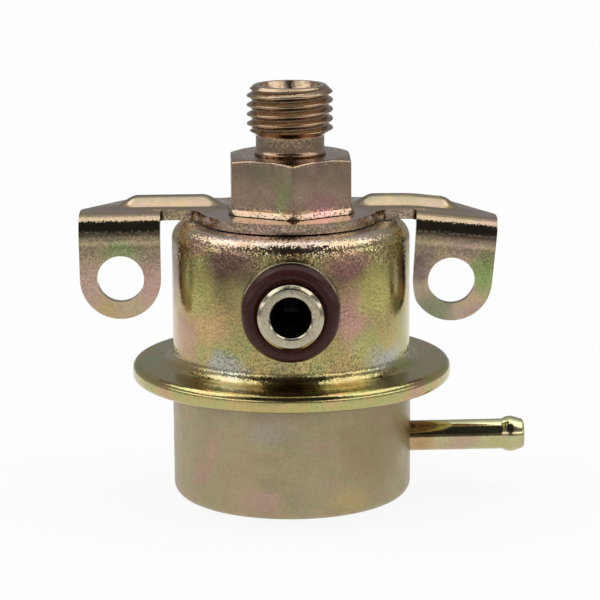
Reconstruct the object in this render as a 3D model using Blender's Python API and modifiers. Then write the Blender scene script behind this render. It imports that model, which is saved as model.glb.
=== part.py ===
"""Fuel pressure regulator with a folded mounting bracket.

Two drawn steel cans are joined by a rolled flange that clamps a diaphragm. Fuel enters at
the spigot on the front, pushes the diaphragm down against the main spring, lifts the
valve plate off its seat and leaves through the tube and the threaded fitting on top.
The nipple on the right leads the spring chamber to the intake manifold.

The origin is on the can's axis at the bottom face. +Z runs up through the fitting,
the spigot points along -Y and the nipple along +X. Sizes are in metres.
"""

import math

import bmesh
import bpy
from mathutils import Matrix, Vector

MM = 0.001

# Clearances
SEAM_GAP = 0.07 * MM          # between the sheets that are clamped in the flange
FIT_GAP = 0.10 * MM           # round pressed, brazed and sliding pieces
REST_GAP = 0.20 * MM          # between faces that rest on one another

# Cans
CAN_RADIUS = 19.2 * MM
CUP_STEP = 0.15 * MM          # how much wider the cup is than the can
CAN_WALL = 1.2 * MM
CAN_HEIGHT = 25.8 * MM        # from the flange's underside to the upper can's top
CAN_SHOULDER = 2.8 * MM
CAN_FOOT_FILLET = 2.0 * MM
CUP_CORNER = 1.9 * MM
CUP_NECK_FILLET = 1.2 * MM

# Rolled flange, from its underside up
FLANGE_WIDTH = 6.65 * MM      # from the can's side out to the rim
FLANGE_BOTTOM = 19.2 * MM
LIP_THICKNESS = 0.8 * MM
LIP_WIDTH = 2.4 * MM
CUP_FLANGE = 0.75 * MM
DIAPHRAGM_THICKNESS = 0.4 * MM
CAN_FLANGE = 0.8 * MM
FLANGE_TOP_ROUND = 1.0 * MM
FLANGE_LOW_ROUND = 0.7 * MM

# Bracket
SHEET = 1.6 * MM
DISC_INSET = 4.7 * MM         # from the can's side in to the round middle's edge
ARM_FRONT = -1.2 * MM
ARM_BACK = 10.3 * MM
ARM_FRONT_FILLET = 3.0 * MM
ARM_BACK_FILLET = 2.0 * MM
NOTCH_ROUND = 0.7 * MM        # the fold starts where this rounding ends
EAR_CLEARANCE = 1.3 * MM      # from the can's side to an ear
EAR_WIDTH = 13.0 * MM
EAR_HOLE_RADIUS = 3.75 * MM
EAR_HOLE_DROP = 9.5 * MM      # from the sheet's middle down to the ear's hole
FOLD_RADIUS = 3.5 * MM
ARM_END_SETBACK = 0.8 * MM    # from the ear's middle in to where the slanted end meets the rear edge
ARM_END_START = 1.0 * MM      # where the slanted end leaves the ear's outer side
ARM_END_ROUND = 2.0 * MM
ARM_HEEL_ROUND = 2.5 * MM
BEAD_LINE = 5.0 * MM
BEAD_HALF_WIDTH = 2.5 * MM
BEAD_INSET = 8.7 * MM         # from the can's side in to the bead's inner end
BEAD_OVERREACH = 0.8 * MM     # from the ear's middle out to the bead's end
BEAD_FLANK = 1.7 * MM         # width of the bead's rounded slope
BEAD_HEIGHT = 1.5 * MM
DROOP_REACH = 0.9 * MM        # from the can's side out to where an arm droops
DROOP_SPREAD = 1.5 * MM       # half the way between an arm's two slight bends
LEFT_DROOP = math.radians(0.6)
RIGHT_DROOP = math.radians(5.6)
SHEET_SHIFT = -0.35 * MM      # the sheet sits a little to the left of the cans' axis

# Outlet fitting
HEX_ACROSS_FLATS = 19.0 * MM
HEX_HEIGHT = 8.9 * MM
HEX_TURN = math.radians(2.4)
HEX_CHAMFER_RADIUS = 9.3 * MM
HEX_CHAMFER = math.radians(18.0)
HEX_FOOT_BEVEL = 0.45 * MM
SHANK_RADIUS = 7.0 * MM
SHANK_DEPTH = 2.4 * MM        # from the can's top down to the shank's end
SWAGE_RADIUS = 8.2 * MM
SWAGE_HEIGHT = 0.9 * MM
NECK_RADIUS = 5.5 * MM
NECK_STEP_RADIUS = 5.75 * MM
NECK_STEP_HEIGHT = 0.7 * MM
NECK_LENGTH = 3.2 * MM
THREAD_LENGTH = 7.9 * MM
THREAD_RADIUS = 6.9 * MM
THREAD_CHAMFER = 1.1 * MM
THREAD_RUNOUT = 0.85 * MM
MOUTH_RADIUS = 4.8 * MM
CONE_HALF_ANGLE = math.radians(12.0)
SOCKET_RADIUS = 4.05 * MM
SOCKET_DEPTH = 7.0 * MM
OUTLET_BORE = 3.1 * MM

# Return tube and seat
TUBE_RADIUS = 4.0 * MM
TUBE_BORE = 2.8 * MM
TUBE_ENTRY = 7.0 * MM         # how far the tube goes up into the shank
SEAT_LIFT = 5.01 * MM         # from the diaphragm's top up to the seat's lip
SEAT_RADIUS = 5.2 * MM
SEAT_BORE = 2.0 * MM
SEAT_LIP_RADIUS = 2.9 * MM
SEAT_HEIGHT = 4.6 * MM
SEAT_CUP_DEPTH = 3.2 * MM

# Inlet spigot
SPIGOT_LIFT = 12.24 * MM      # from the flange's top up to the spigot's axis
SPIGOT_PROUD = 6.8 * MM       # how far it stands out of the can
SPIGOT_INSIDE = 1.6 * MM      # how far it stands into the can
SPIGOT_TIP_RADIUS = 5.14 * MM
SPIGOT_BORE = 3.13 * MM
SPIGOT_LIP = 1.4 * MM
SPIGOT_CHAMFER = 0.55 * MM
GROOVE_RADIUS = 4.35 * MM
GROOVE_WIDTH = 3.6 * MM
COLLAR_MARGIN = 0.1 * MM      # past the ring's outer edge
SPIGOT_SHANK_RADIUS = 5.0 * MM
RING_SLACK = 0.3 * MM         # from the groove's floor out to the ring
RING_SECTION_RADIUS = 1.5 * MM

# Vacuum nipple
NIPPLE_HEIGHT = 9.0 * MM
NIPPLE_RADIUS = 2.4 * MM
NIPPLE_BORE = 1.2 * MM
NIPPLE_PROUD = 18.65 * MM     # how far it stands out of the cup
NIPPLE_INSIDE = 0.85 * MM     # how far it stands into the cup
NIPPLE_BULB_RADIUS = 2.95 * MM
NIPPLE_BULB_LENGTH = 3.6 * MM
NIPPLE_BULB_FRONT = 2.4 * MM  # from the bulb's crest to the tip
NIPPLE_TIP_RADIUS = 1.95 * MM

# Moving valve group
VALVE_PLATE_RADIUS = 5.0 * MM
VALVE_PLATE_THICKNESS = 1.0 * MM
VALVE_GAP = 0.3 * MM
BALL_RADIUS = 2.5 * MM
BALL_FLAT = 2.15 * MM         # height of the flat above the ball's centre
BALL_SLACK = 0.3 * MM
BALL_SPRING_WIRE = 0.25 * MM
BALL_SPRING_RADIUS = 1.7 * MM
BALL_SPRING_TURNS = 2.2
CARRIER_RADIUS = 4.2 * MM
CARRIER_FLANGE_RADIUS = 5.6 * MM
CARRIER_FLANGE_THICKNESS = 0.8 * MM
CARRIER_CUP_HEIGHT = 0.6 * MM
RETAINER_THICKNESS = 0.5 * MM
RETAINER_BORE = 2.2 * MM
RIVET_SPREAD = 1.1 * MM
RIVET_HEIGHT = 1.5 * MM
RIVET_DOME = 0.9 * MM
RIVET_TAPER = 0.8 * MM
POCKET_FLOOR = 0.7 * MM
DIAPHRAGM_PLATE_MARGIN = 0.5 * MM   # past the spring plate's edge
DIAPHRAGM_PLATE_THICKNESS = 1.2 * MM
SPRING_PLATE_THICKNESS = 0.9 * MM
SPRING_PLATE_RIM = 2.8 * MM
SPRING_PLATE_BEND = 1.6 * MM
WASHER_MARGIN = 0.9 * MM      # past the rivet's edge
WASHER_THICKNESS = 0.6 * MM
CONVOLUTION_MARGIN = 1.3 * MM # past the diaphragm plate's edge
CONVOLUTION_INSET = 1.05 * MM # in from the cup's outside
CONVOLUTION_DEPTH = 2.2 * MM

# Main spring and its seat
SPRING_WIRE = 1.25 * MM
SPRING_RADIUS = 9.0 * MM
SPRING_SLACK = 0.35 * MM      # from the wire out to the spring plate's rim
SPRING_LIVE_TURNS = 3.0
SPRING_DEAD_TURNS = 1.0
SPRING_DEAD_PITCH = 2.62 * MM
SEAT_DISC_CLEARANCE = 3.15 * MM   # in from the cup's wall
SEAT_DISC_THICKNESS = 1.0 * MM
SEAT_BOSS_SLACK = 0.95 * MM   # in from the spring's wire
SEAT_BOSS_HEIGHT = 1.5 * MM

# Facets round each piece
CAN_STEPS = 40
FITTING_STEPS = 30
SMALL_STEPS = 20
ARC_STEPS = 3                 # in each quarter of a visible rounding
EDGE_STEPS = 2                # in each quarter of a hidden or very small one
CUT_STEPS = 24
DISC_STEPS = 8
EAR_STEPS = 14
BEAD_STEPS = 6
BEAD_RINGS = 4
FOLD_STEPS = 6
SPRING_STEPS = 12             # along one turn of wire
WAVE_STEPS = 6
SMOOTH_ANGLE = math.radians(35.0)
WELD = 0.01 * MM              # points closer than this are one

# Levels and radii that follow from the sizes above
CUP_RADIUS = CAN_RADIUS + CUP_STEP
FLANGE_RADIUS = CAN_RADIUS + FLANGE_WIDTH
DISC_RADIUS = CAN_RADIUS - DISC_INSET
BEAD_INNER = CAN_RADIUS - BEAD_INSET
DROOP_START = CAN_RADIUS + DROOP_REACH
EAR_OFFSET = CAN_RADIUS + EAR_CLEARANCE + EAR_WIDTH / 2
ARM_END_INNER = EAR_OFFSET - ARM_END_SETBACK
BEAD_OUTER = EAR_OFFSET + BEAD_OVERREACH
FOLD_LINE = ARM_FRONT - NOTCH_ROUND
CAN_TOP = FLANGE_BOTTOM + CAN_HEIGHT
LIP_TOP = FLANGE_BOTTOM + LIP_THICKNESS
CUP_FLANGE_BOTTOM = LIP_TOP + SEAM_GAP
CUP_FLANGE_TOP = CUP_FLANGE_BOTTOM + CUP_FLANGE
DIAPHRAGM_BOTTOM = CUP_FLANGE_TOP + SEAM_GAP
DIAPHRAGM_TOP = DIAPHRAGM_BOTTOM + DIAPHRAGM_THICKNESS
CAN_FLANGE_BOTTOM = DIAPHRAGM_TOP + SEAM_GAP
FLANGE_TOP = CAN_FLANGE_BOTTOM + CAN_FLANGE
SEAM_RADIUS = FLANGE_RADIUS - CAN_FLANGE
CLAMP_RADIUS = SEAM_RADIUS - REST_GAP
SHEET_BOTTOM = CAN_TOP + REST_GAP
SHEET_TOP = SHEET_BOTTOM + SHEET
SHEET_MIDDLE = SHEET_BOTTOM + SHEET / 2
EAR_HOLE_HEIGHT = SHEET_MIDDLE - EAR_HOLE_DROP
HEX_BOTTOM = SHEET_TOP + REST_GAP / 2
HEX_TOP = HEX_BOTTOM + HEX_HEIGHT
THREAD_BOTTOM = HEX_TOP + NECK_LENGTH
FITTING_TOP = THREAD_BOTTOM + THREAD_LENGTH
SHANK_BOTTOM = CAN_TOP - SHANK_DEPTH
TUBE_TOP = SHANK_BOTTOM + TUBE_ENTRY
SEAT_LEVEL = DIAPHRAGM_TOP + SEAT_LIFT
SEAT_TUBE_FLOOR = SEAT_LEVEL + SEAT_HEIGHT - SEAT_CUP_DEPTH
VALVE_PLATE_TOP = SEAT_LEVEL - VALVE_GAP
VALVE_PLATE_BOTTOM = VALVE_PLATE_TOP - VALVE_PLATE_THICKNESS
BALL_CENTRE = VALVE_PLATE_BOTTOM - VALVE_GAP - BALL_FLAT
DIAPHRAGM_PLATE_BOTTOM = DIAPHRAGM_TOP + SEAM_GAP
DIAPHRAGM_PLATE_TOP = DIAPHRAGM_PLATE_BOTTOM + DIAPHRAGM_PLATE_THICKNESS
CARRIER_FLANGE_BOTTOM = DIAPHRAGM_PLATE_TOP + SEAM_GAP
CARRIER_TOP = CARRIER_FLANGE_BOTTOM + CARRIER_FLANGE_THICKNESS + CARRIER_CUP_HEIGHT
RETAINER_BOTTOM = CARRIER_TOP + SEAM_GAP
SPRING_PLATE_TOP = DIAPHRAGM_BOTTOM - SEAM_GAP
SPRING_PLATE_BOTTOM = SPRING_PLATE_TOP - SPRING_PLATE_THICKNESS
WASHER_TOP = SPRING_PLATE_BOTTOM - SEAM_GAP
WASHER_BOTTOM = WASHER_TOP - WASHER_THICKNESS
RIVET_TOP = WASHER_BOTTOM - SEAM_GAP
RIVET_BOTTOM = RIVET_TOP - RIVET_HEIGHT
POCKET_RADIUS = BALL_RADIUS + BALL_SLACK
POCKET_BOTTOM = RIVET_BOTTOM + POCKET_FLOOR
SEAT_DISC_BOTTOM = CAN_WALL + FIT_GAP
SEAT_DISC_TOP = SEAT_DISC_BOTTOM + SEAT_DISC_THICKNESS
SEAT_DISC_RADIUS = CUP_RADIUS - CAN_WALL - SEAT_DISC_CLEARANCE
SEAT_BOSS_RADIUS = SPRING_RADIUS - SPRING_WIRE - SEAT_BOSS_SLACK
RIVET_RADIUS = CARRIER_RADIUS + RIVET_SPREAD
WASHER_RADIUS = RIVET_RADIUS + WASHER_MARGIN
SPRING_PLATE_RADIUS = SPRING_RADIUS + SPRING_WIRE + SPRING_SLACK + SPRING_PLATE_THICKNESS
DIAPHRAGM_PLATE_RADIUS = SPRING_PLATE_RADIUS + DIAPHRAGM_PLATE_MARGIN
CONVOLUTION_INNER = DIAPHRAGM_PLATE_RADIUS + CONVOLUTION_MARGIN
CONVOLUTION_OUTER = CUP_RADIUS - CONVOLUTION_INSET
SPRING_LOW = SEAT_DISC_TOP + REST_GAP + SPRING_WIRE
SPRING_HIGH = SPRING_PLATE_BOTTOM - REST_GAP - SPRING_WIRE
SPIGOT_HEIGHT = FLANGE_TOP + SPIGOT_LIFT
SPIGOT_REACH = CAN_RADIUS + SPIGOT_PROUD
SPIGOT_INNER_END = CAN_RADIUS - CAN_WALL - SPIGOT_INSIDE
NIPPLE_REACH = CUP_RADIUS + NIPPLE_PROUD
NIPPLE_INNER_END = CUP_RADIUS - CAN_WALL - NIPPLE_INSIDE
NIPPLE_BULB_BACK = NIPPLE_REACH - NIPPLE_BULB_LENGTH
NIPPLE_BULB_CREST = NIPPLE_REACH - NIPPLE_BULB_FRONT
RING_RADIUS = GROOVE_RADIUS + RING_SLACK + RING_SECTION_RADIUS
COLLAR_RADIUS = RING_RADIUS + RING_SECTION_RADIUS + COLLAR_MARGIN
GROOVE_FRONT = SPIGOT_REACH - SPIGOT_LIP
GROOVE_BACK = GROOVE_FRONT - GROOVE_WIDTH
HOLE_GAP = 2 * FIT_GAP        # round what passes through a can's wall

# Finishes: colour, metallic, roughness
GOLD_ZINC = ((0.44, 0.36, 0.20, 1.0), 1.0, 0.34)
GOLD_ZINC_MATT = ((0.40, 0.34, 0.20, 1.0), 1.0, 0.48)
TURNED_STEEL = ((0.55, 0.55, 0.54, 1.0), 1.0, 0.28)
SPRING_STEEL = ((0.42, 0.42, 0.44, 1.0), 1.0, 0.35)
STAINLESS = ((0.62, 0.62, 0.62, 1.0), 1.0, 0.20)
BRASS = ((0.68, 0.50, 0.20, 1.0), 1.0, 0.30)
RED_RUBBER = ((0.07, 0.018, 0.014, 1.0), 0.0, 0.42)
BLACK_RUBBER = ((0.02, 0.02, 0.02, 1.0), 0.0, 0.60)

ALONG_X = Matrix.Rotation(math.radians(90.0), 4, "Y")
ALONG_MINUS_Y = Matrix.Rotation(math.radians(90.0), 4, "X")


def clear_scene():
    for old in list(bpy.data.objects):
        bpy.data.objects.remove(old, do_unlink=True)


def make_collection(name, hidden=False):
    group = bpy.data.collections.new(name)
    group.hide_render = hidden
    bpy.context.scene.collection.children.link(group)
    return group


def make_material(name, finish):
    colour, metallic, roughness = finish
    material = bpy.data.materials.new(name)
    material.use_nodes = True
    shader = material.node_tree.nodes["Principled BSDF"]
    shader.inputs["Base Color"].default_value = colour
    shader.inputs["Metallic"].default_value = metallic
    shader.inputs["Roughness"].default_value = roughness
    material.diffuse_color = colour
    return material


def finish_piece(piece, finish):
    """Give a piece its own material and smooth round faces."""
    piece.data.materials.append(make_material(piece.name + "_finish", finish))
    if piece.type == "MESH":
        piece.data.shade_smooth()
        piece.data.set_sharp_from_angle(angle=SMOOTH_ANGLE)
    return piece


def link_mesh(name, bm, group):
    mesh = bpy.data.meshes.new(name)
    bm.to_mesh(mesh)
    bm.free()
    piece = bpy.data.objects.new(name, mesh)
    group.objects.link(piece)
    return piece


def hide_cutter(piece):
    piece.hide_render = True
    piece.display_type = "WIRE"
    return piece


def arc(centre, radius, start, end, steps=ARC_STEPS):
    """Points on an arc in a profile plane, with angles in degrees."""
    points = []
    for i in range(steps + 1):
        angle = math.radians(start + (end - start) * i / steps)
        points.append((centre[0] + radius * math.cos(angle), centre[1] + radius * math.sin(angle)))
    return points


def profile_mesh(name, points, group, closed):
    bm = bmesh.new()
    verts = [bm.verts.new((r, 0.0, z)) for r, z in points]
    pairs = list(zip(verts, verts[1:]))
    if closed:
        pairs.append((verts[-1], verts[0]))
    for a, b in pairs:
        bm.edges.new((a, b))
    return link_mesh(name, bm, group)


def turned(name, points, group, steps, closed=True, place=None):
    """A turned piece: the profile at +X runs down its outer side."""
    piece = profile_mesh(name, points, group, closed)
    screw = piece.modifiers.new("turn", "SCREW")
    screw.steps = steps
    screw.render_steps = steps
    screw.use_merge_vertices = True
    screw.merge_threshold = WELD
    screw.use_smooth_shade = True
    if place is not None:
        piece.matrix_world = place
    return piece


def cut(piece, cutter, name, operation="DIFFERENCE"):
    modifier = piece.modifiers.new(name, "BOOLEAN")
    modifier.operation = operation
    modifier.solver = "EXACT"
    modifier.object = cutter
    return modifier


def cylinder(name, radius, low, high, group, steps, place=None):
    """A cylinder between two levels along its own Z, before it is placed."""
    bm = bmesh.new()
    bmesh.ops.create_cone(bm, cap_ends=True, segments=steps, radius1=radius, radius2=radius,
                          depth=high - low)
    bmesh.ops.translate(bm, verts=bm.verts, vec=(0.0, 0.0, (high + low) / 2))
    piece = link_mesh(name, bm, group)
    if place is not None:
        piece.matrix_world = place
    return piece


def coil(name, points, wire, group):
    """Wire along a chain of points, closed at both ends."""
    curve = bpy.data.curves.new(name, "CURVE")
    curve.dimensions = "3D"
    curve.bevel_depth = wire
    curve.bevel_resolution = 2
    curve.use_fill_caps = True
    spline = curve.splines.new("POLY")
    spline.points.add(len(points) - 1)
    for slot, point in zip(spline.points, points):
        slot.co = (point[0], point[1], point[2], 1.0)
    piece = bpy.data.objects.new(name, curve)
    group.objects.link(piece)
    return piece


def helix_points(radius, low, high, live_turns, dead_turns, dead_pitch):
    """Spring centreline: closed end turns and evenly pitched live turns between them."""
    live_pitch = (high - low - 2 * dead_turns * dead_pitch) / live_turns
    total = live_turns + 2 * dead_turns
    count = round(total * SPRING_STEPS)
    points = []
    for i in range(count + 1):
        turn = total * i / count
        low_part = min(turn, dead_turns)
        live_part = min(max(turn - dead_turns, 0.0), live_turns)
        high_part = max(turn - dead_turns - live_turns, 0.0)
        z = low + (low_part + high_part) * dead_pitch + live_part * live_pitch
        angle = 2 * math.pi * turn
        points.append((radius * math.cos(angle), radius * math.sin(angle), z))
    return points


def upper_housing(group, cutters):
    hole = SHANK_RADIUS + HOLE_GAP
    inner_shoulder = CAN_SHOULDER - CAN_WALL
    inner_radius = CAN_RADIUS - CAN_WALL
    foot = CAN_FOOT_FILLET
    inner_foot = foot + CAN_WALL
    lip_end = FLANGE_RADIUS - LIP_WIDTH
    inner_bend = FLANGE_TOP_ROUND - CAN_FLANGE
    points = [(hole, CAN_TOP)]
    points += arc((CAN_RADIUS - CAN_SHOULDER, CAN_TOP - CAN_SHOULDER), CAN_SHOULDER, 90, 0)
    points += arc((CAN_RADIUS + foot, FLANGE_TOP + foot), foot, 180, 270)
    points += arc((FLANGE_RADIUS - FLANGE_TOP_ROUND, FLANGE_TOP - FLANGE_TOP_ROUND), FLANGE_TOP_ROUND,
                  90, 0)
    points += arc((FLANGE_RADIUS - FLANGE_LOW_ROUND, FLANGE_BOTTOM + FLANGE_LOW_ROUND), FLANGE_LOW_ROUND,
                  0, -90, EDGE_STEPS)
    points += [(lip_end, FLANGE_BOTTOM), (lip_end, LIP_TOP), (SEAM_RADIUS, LIP_TOP)]
    points += arc((SEAM_RADIUS - inner_bend, CAN_FLANGE_BOTTOM - inner_bend), inner_bend, 0, 90, 1)
    points += arc((inner_radius + inner_foot, CAN_FLANGE_BOTTOM + inner_foot), inner_foot, 270, 180,
                  EDGE_STEPS)
    points += arc((inner_radius - inner_shoulder, CAN_TOP - CAN_SHOULDER), inner_shoulder, 0, 90,
                  EDGE_STEPS)
    points += [(hole, CAN_TOP - CAN_WALL)]
    piece = turned("upper_housing", points, group, CAN_STEPS)
    port = cylinder("inlet_port_cutter", SPIGOT_SHANK_RADIUS + HOLE_GAP, CAN_RADIUS - 4 * CAN_WALL,
                    CAN_RADIUS + CAN_WALL, cutters, SMALL_STEPS, spigot_place())
    cut(piece, hide_cutter(port), "inlet port")
    return finish_piece(piece, GOLD_ZINC)


def lower_housing(group, cutters):
    inner_corner = CUP_CORNER - CAN_WALL
    inner_radius = CUP_RADIUS - CAN_WALL
    inner_neck = CUP_NECK_FILLET + CUP_FLANGE
    points = [(CLAMP_RADIUS, CUP_FLANGE_TOP), (CLAMP_RADIUS, CUP_FLANGE_BOTTOM)]
    points += arc((CUP_RADIUS + CUP_NECK_FILLET, CUP_FLANGE_BOTTOM - CUP_NECK_FILLET), CUP_NECK_FILLET,
                  90, 180)
    points += arc((CUP_RADIUS - CUP_CORNER, CUP_CORNER), CUP_CORNER, 0, -90)
    points += [(0.0, 0.0), (0.0, CAN_WALL)]
    points += arc((inner_radius - inner_corner, CAN_WALL + inner_corner), inner_corner, -90, 0,
                  EDGE_STEPS)
    points += arc((inner_radius + inner_neck, CUP_FLANGE_TOP - inner_neck), inner_neck, 180, 90,
                  EDGE_STEPS)
    piece = turned("lower_housing", points, group, CAN_STEPS)
    port = cylinder("nipple_port_cutter", NIPPLE_RADIUS + HOLE_GAP, CUP_RADIUS - 3 * CAN_WALL,
                    CUP_RADIUS + CAN_WALL, cutters, SMALL_STEPS, nipple_place())
    cut(piece, hide_cutter(port), "nipple port")
    return finish_piece(piece, GOLD_ZINC_MATT)


def pill(bm, half_length, radius, centre, steps=BEAD_STEPS):
    """A loop of vertices round a slot-shaped outline."""
    verts = []
    for end, start in ((1.0, -90.0), (-1.0, 90.0)):
        for i in range(steps + 1):
            angle = math.radians(start + 180.0 * i / steps)
            x = centre[0] + end * half_length + radius * math.cos(angle)
            verts.append(bm.verts.new((x, centre[1] + radius * math.sin(angle), 0.0)))
    return verts


def rounded_corner(before, corner, after, radius, steps=ARC_STEPS):
    """Arc that rounds an outline's corner, from the side that comes first to the next one."""
    to_before = (Vector(before) - Vector(corner)).normalized()
    to_after = (Vector(after) - Vector(corner)).normalized()
    half = to_before.angle(to_after) / 2
    centre = Vector(corner) + (to_before + to_after).normalized() * radius / math.sin(half)
    start = Vector(corner) + to_before * radius / math.tan(half) - centre
    end = Vector(corner) + to_after * radius / math.tan(half) - centre
    points = []
    for i in range(steps + 1):
        share = i / steps
        angle = start.angle(end)
        spoke = (start * math.sin((1 - share) * angle) + end * math.sin(share * angle)) / math.sin(angle)
        points.append(tuple(centre + spoke))
    return points


def arm_fillet(edge, radius, steps=ARC_STEPS):
    """Fillet between the round middle and an arm's edge, from the disc out to the arm."""
    front = edge < 0
    level = edge - radius if front else edge + radius
    x = math.sqrt((DISC_RADIUS + radius) ** 2 - level ** 2)
    touch = math.degrees(math.atan2(-level, -x))
    straight = 90.0 if front else -90.0
    return arc((x, level), radius, touch, straight, steps)


def ear_flat_length():
    """Distance on the flat sheet from the fold line to the ear's hole."""
    neutral = FOLD_RADIUS - SHEET / 2
    bend = neutral * math.pi / 2
    return bend + (SHEET_MIDDLE - neutral - EAR_HOLE_HEIGHT)


def half_outline():
    """The flat sheet's edge on the +X side, from the front of the disc round to its back."""
    ear_inner = EAR_OFFSET - EAR_WIDTH / 2
    ear_outer = EAR_OFFSET + EAR_WIDTH / 2
    ear_centre = FOLD_LINE - ear_flat_length()
    front_fillet = arm_fillet(ARM_FRONT, ARM_FRONT_FILLET)
    back_fillet = arm_fillet(ARM_BACK, ARM_BACK_FILLET)
    first = math.degrees(math.atan2(front_fillet[0][1], front_fillet[0][0]))
    last = math.degrees(math.atan2(back_fillet[0][1], back_fillet[0][0]))
    shoulder = (ear_outer, ARM_END_START)
    heel = (ARM_END_INNER, ARM_BACK)
    points = arc((0.0, 0.0), DISC_RADIUS, -90.0, first, DISC_STEPS)[:-1]
    points += front_fillet
    points += rounded_corner((0.0, ARM_FRONT), (ear_inner, ARM_FRONT), (ear_inner, ear_centre),
                             NOTCH_ROUND)
    points += arc((EAR_OFFSET, ear_centre), EAR_WIDTH / 2, 180.0, 360.0, EAR_STEPS)
    points += rounded_corner((ear_outer, ear_centre), shoulder, heel, ARM_END_ROUND)
    points += rounded_corner(shoulder, heel, (0.0, ARM_BACK), ARM_HEEL_ROUND)
    points += back_fillet[::-1]
    points += arc((0.0, 0.0), DISC_RADIUS, last, 90.0, DISC_STEPS // 2)[1:]
    return points


def cut_across(bm, faces, point, normal):
    """Lay a line of edges across some faces, where the sheet will bend."""
    edges = dict.fromkeys(e for f in faces for e in f.edges)
    verts = dict.fromkeys(v for f in faces for v in f.verts)
    bmesh.ops.bisect_plane(bm, geom=faces + list(edges) + list(verts), dist=WELD / 10,
                           plane_co=point, plane_no=normal)


def raise_beads(bm, loops):
    """Press the stiffening bead up out of each arm in rings of rounded section."""
    for loop in loops:
        face = bm.faces.new(loop)
        face.normal_update()
        if face.normal.z < 0:
            face.normal_flip()
        for i in range(BEAD_RINGS):
            low = (1 - math.cos(math.pi * i / BEAD_RINGS)) / 2
            high = (1 - math.cos(math.pi * (i + 1) / BEAD_RINGS)) / 2
            bmesh.ops.inset_region(bm, faces=[face], thickness=BEAD_FLANK / BEAD_RINGS,
                                   depth=BEAD_HEIGHT * (high - low), use_even_offset=False)


def fold_ears(bm):
    """Roll the front tongues of the flat sheet down round the fold."""
    neutral = FOLD_RADIUS - SHEET / 2
    bend = neutral * math.pi / 2
    inner_side = EAR_OFFSET - EAR_WIDTH / 2 - WELD
    for vert in bm.verts:
        run = FOLD_LINE - vert.co.y
        if abs(vert.co.x) < inner_side or run <= 0:
            continue
        angle = min(run, bend) / neutral
        straight = max(run - bend, 0.0)
        vert.co.y = FOLD_LINE - neutral * math.sin(angle)
        vert.co.z -= neutral * (1 - math.cos(angle)) + straight


def droop(x, y, z, side):
    """Where a point of an arm goes when the arm sags a little, as the photographed one does."""
    total = LEFT_DROOP if side < 0 else RIGHT_DROOP
    place = Vector((abs(x), y, z))
    for line in (DROOP_START + DROOP_SPREAD, DROOP_START - DROOP_SPREAD):
        if place.x > line:
            hinge = Vector((line, 0.0, 0.0))
            place = hinge + Matrix.Rotation(total / 2, 3, "Y") @ (place - hinge)
    return place.x * side, place.y, place.z


def mounting_bracket(group):
    """One sheet: cut out flat, beaded, folded and set a little to the left."""
    bm = bmesh.new()
    half = half_outline()
    outline = half + [(-x, y) for x, y in half[::-1]][1:-1]
    edge_verts = [bm.verts.new((x, y, 0.0)) for x, y in outline]
    bmesh.ops.create_circle(bm, cap_ends=False, segments=FITTING_STEPS, radius=SHANK_RADIUS + HOLE_GAP,
                            matrix=Matrix.Translation((-SHEET_SHIFT, 0.0, 0.0)))
    for side in (-1, 1):
        hole = Matrix.Translation((side * EAR_OFFSET, FOLD_LINE - ear_flat_length(), 0.0))
        bmesh.ops.create_circle(bm, cap_ends=False, segments=CUT_STEPS, radius=EAR_HOLE_RADIUS, matrix=hole)
    half_length = (BEAD_OUTER - BEAD_INNER) / 2 - BEAD_HALF_WIDTH
    middle = (BEAD_OUTER + BEAD_INNER) / 2
    beads = []
    for side in (-1, 1):
        beads.append(pill(bm, half_length, BEAD_HALF_WIDTH, (side * middle, BEAD_LINE)))
    for loop in [edge_verts] + beads:
        for a, b in zip(loop, loop[1:] + loop[:1]):
            bm.edges.new((a, b))
    bmesh.ops.triangle_fill(bm, use_beauty=True, use_dissolve=False, edges=bm.edges[:],
                            normal=(0, 0, 1))
    raise_beads(bm, beads)
    neutral = FOLD_RADIUS - SHEET / 2
    inner_side = EAR_OFFSET - EAR_WIDTH / 2 - WELD
    for i in range(FOLD_STEPS + 1):
        y = FOLD_LINE - neutral * math.pi / 2 * i / FOLD_STEPS
        ears = [f for f in bm.faces if all(abs(v.co.x) > inner_side for v in f.verts)]
        cut_across(bm, ears, (0.0, y, 0.0), (0.0, 1.0, 0.0))
    for x in (DROOP_START - DROOP_SPREAD, DROOP_START + DROOP_SPREAD):
        for side in (-1, 1):
            cut_across(bm, bm.faces[:], (side * x, 0.0, 0.0), (1.0, 0.0, 0.0))
    fold_ears(bm)
    seat = Vector((SHEET_SHIFT, 0.0, SHEET_MIDDLE))
    for vert in bm.verts:
        side = -1 if vert.co.x < 0 else 1
        vert.co = Vector(droop(*vert.co, side)) + seat
    bmesh.ops.recalc_face_normals(bm, faces=bm.faces)
    piece = link_mesh("mounting_bracket", bm, group)
    wall = piece.modifiers.new("sheet", "SOLIDIFY")
    wall.thickness = SHEET
    wall.offset = 0.0
    return finish_piece(piece, GOLD_ZINC)


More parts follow.
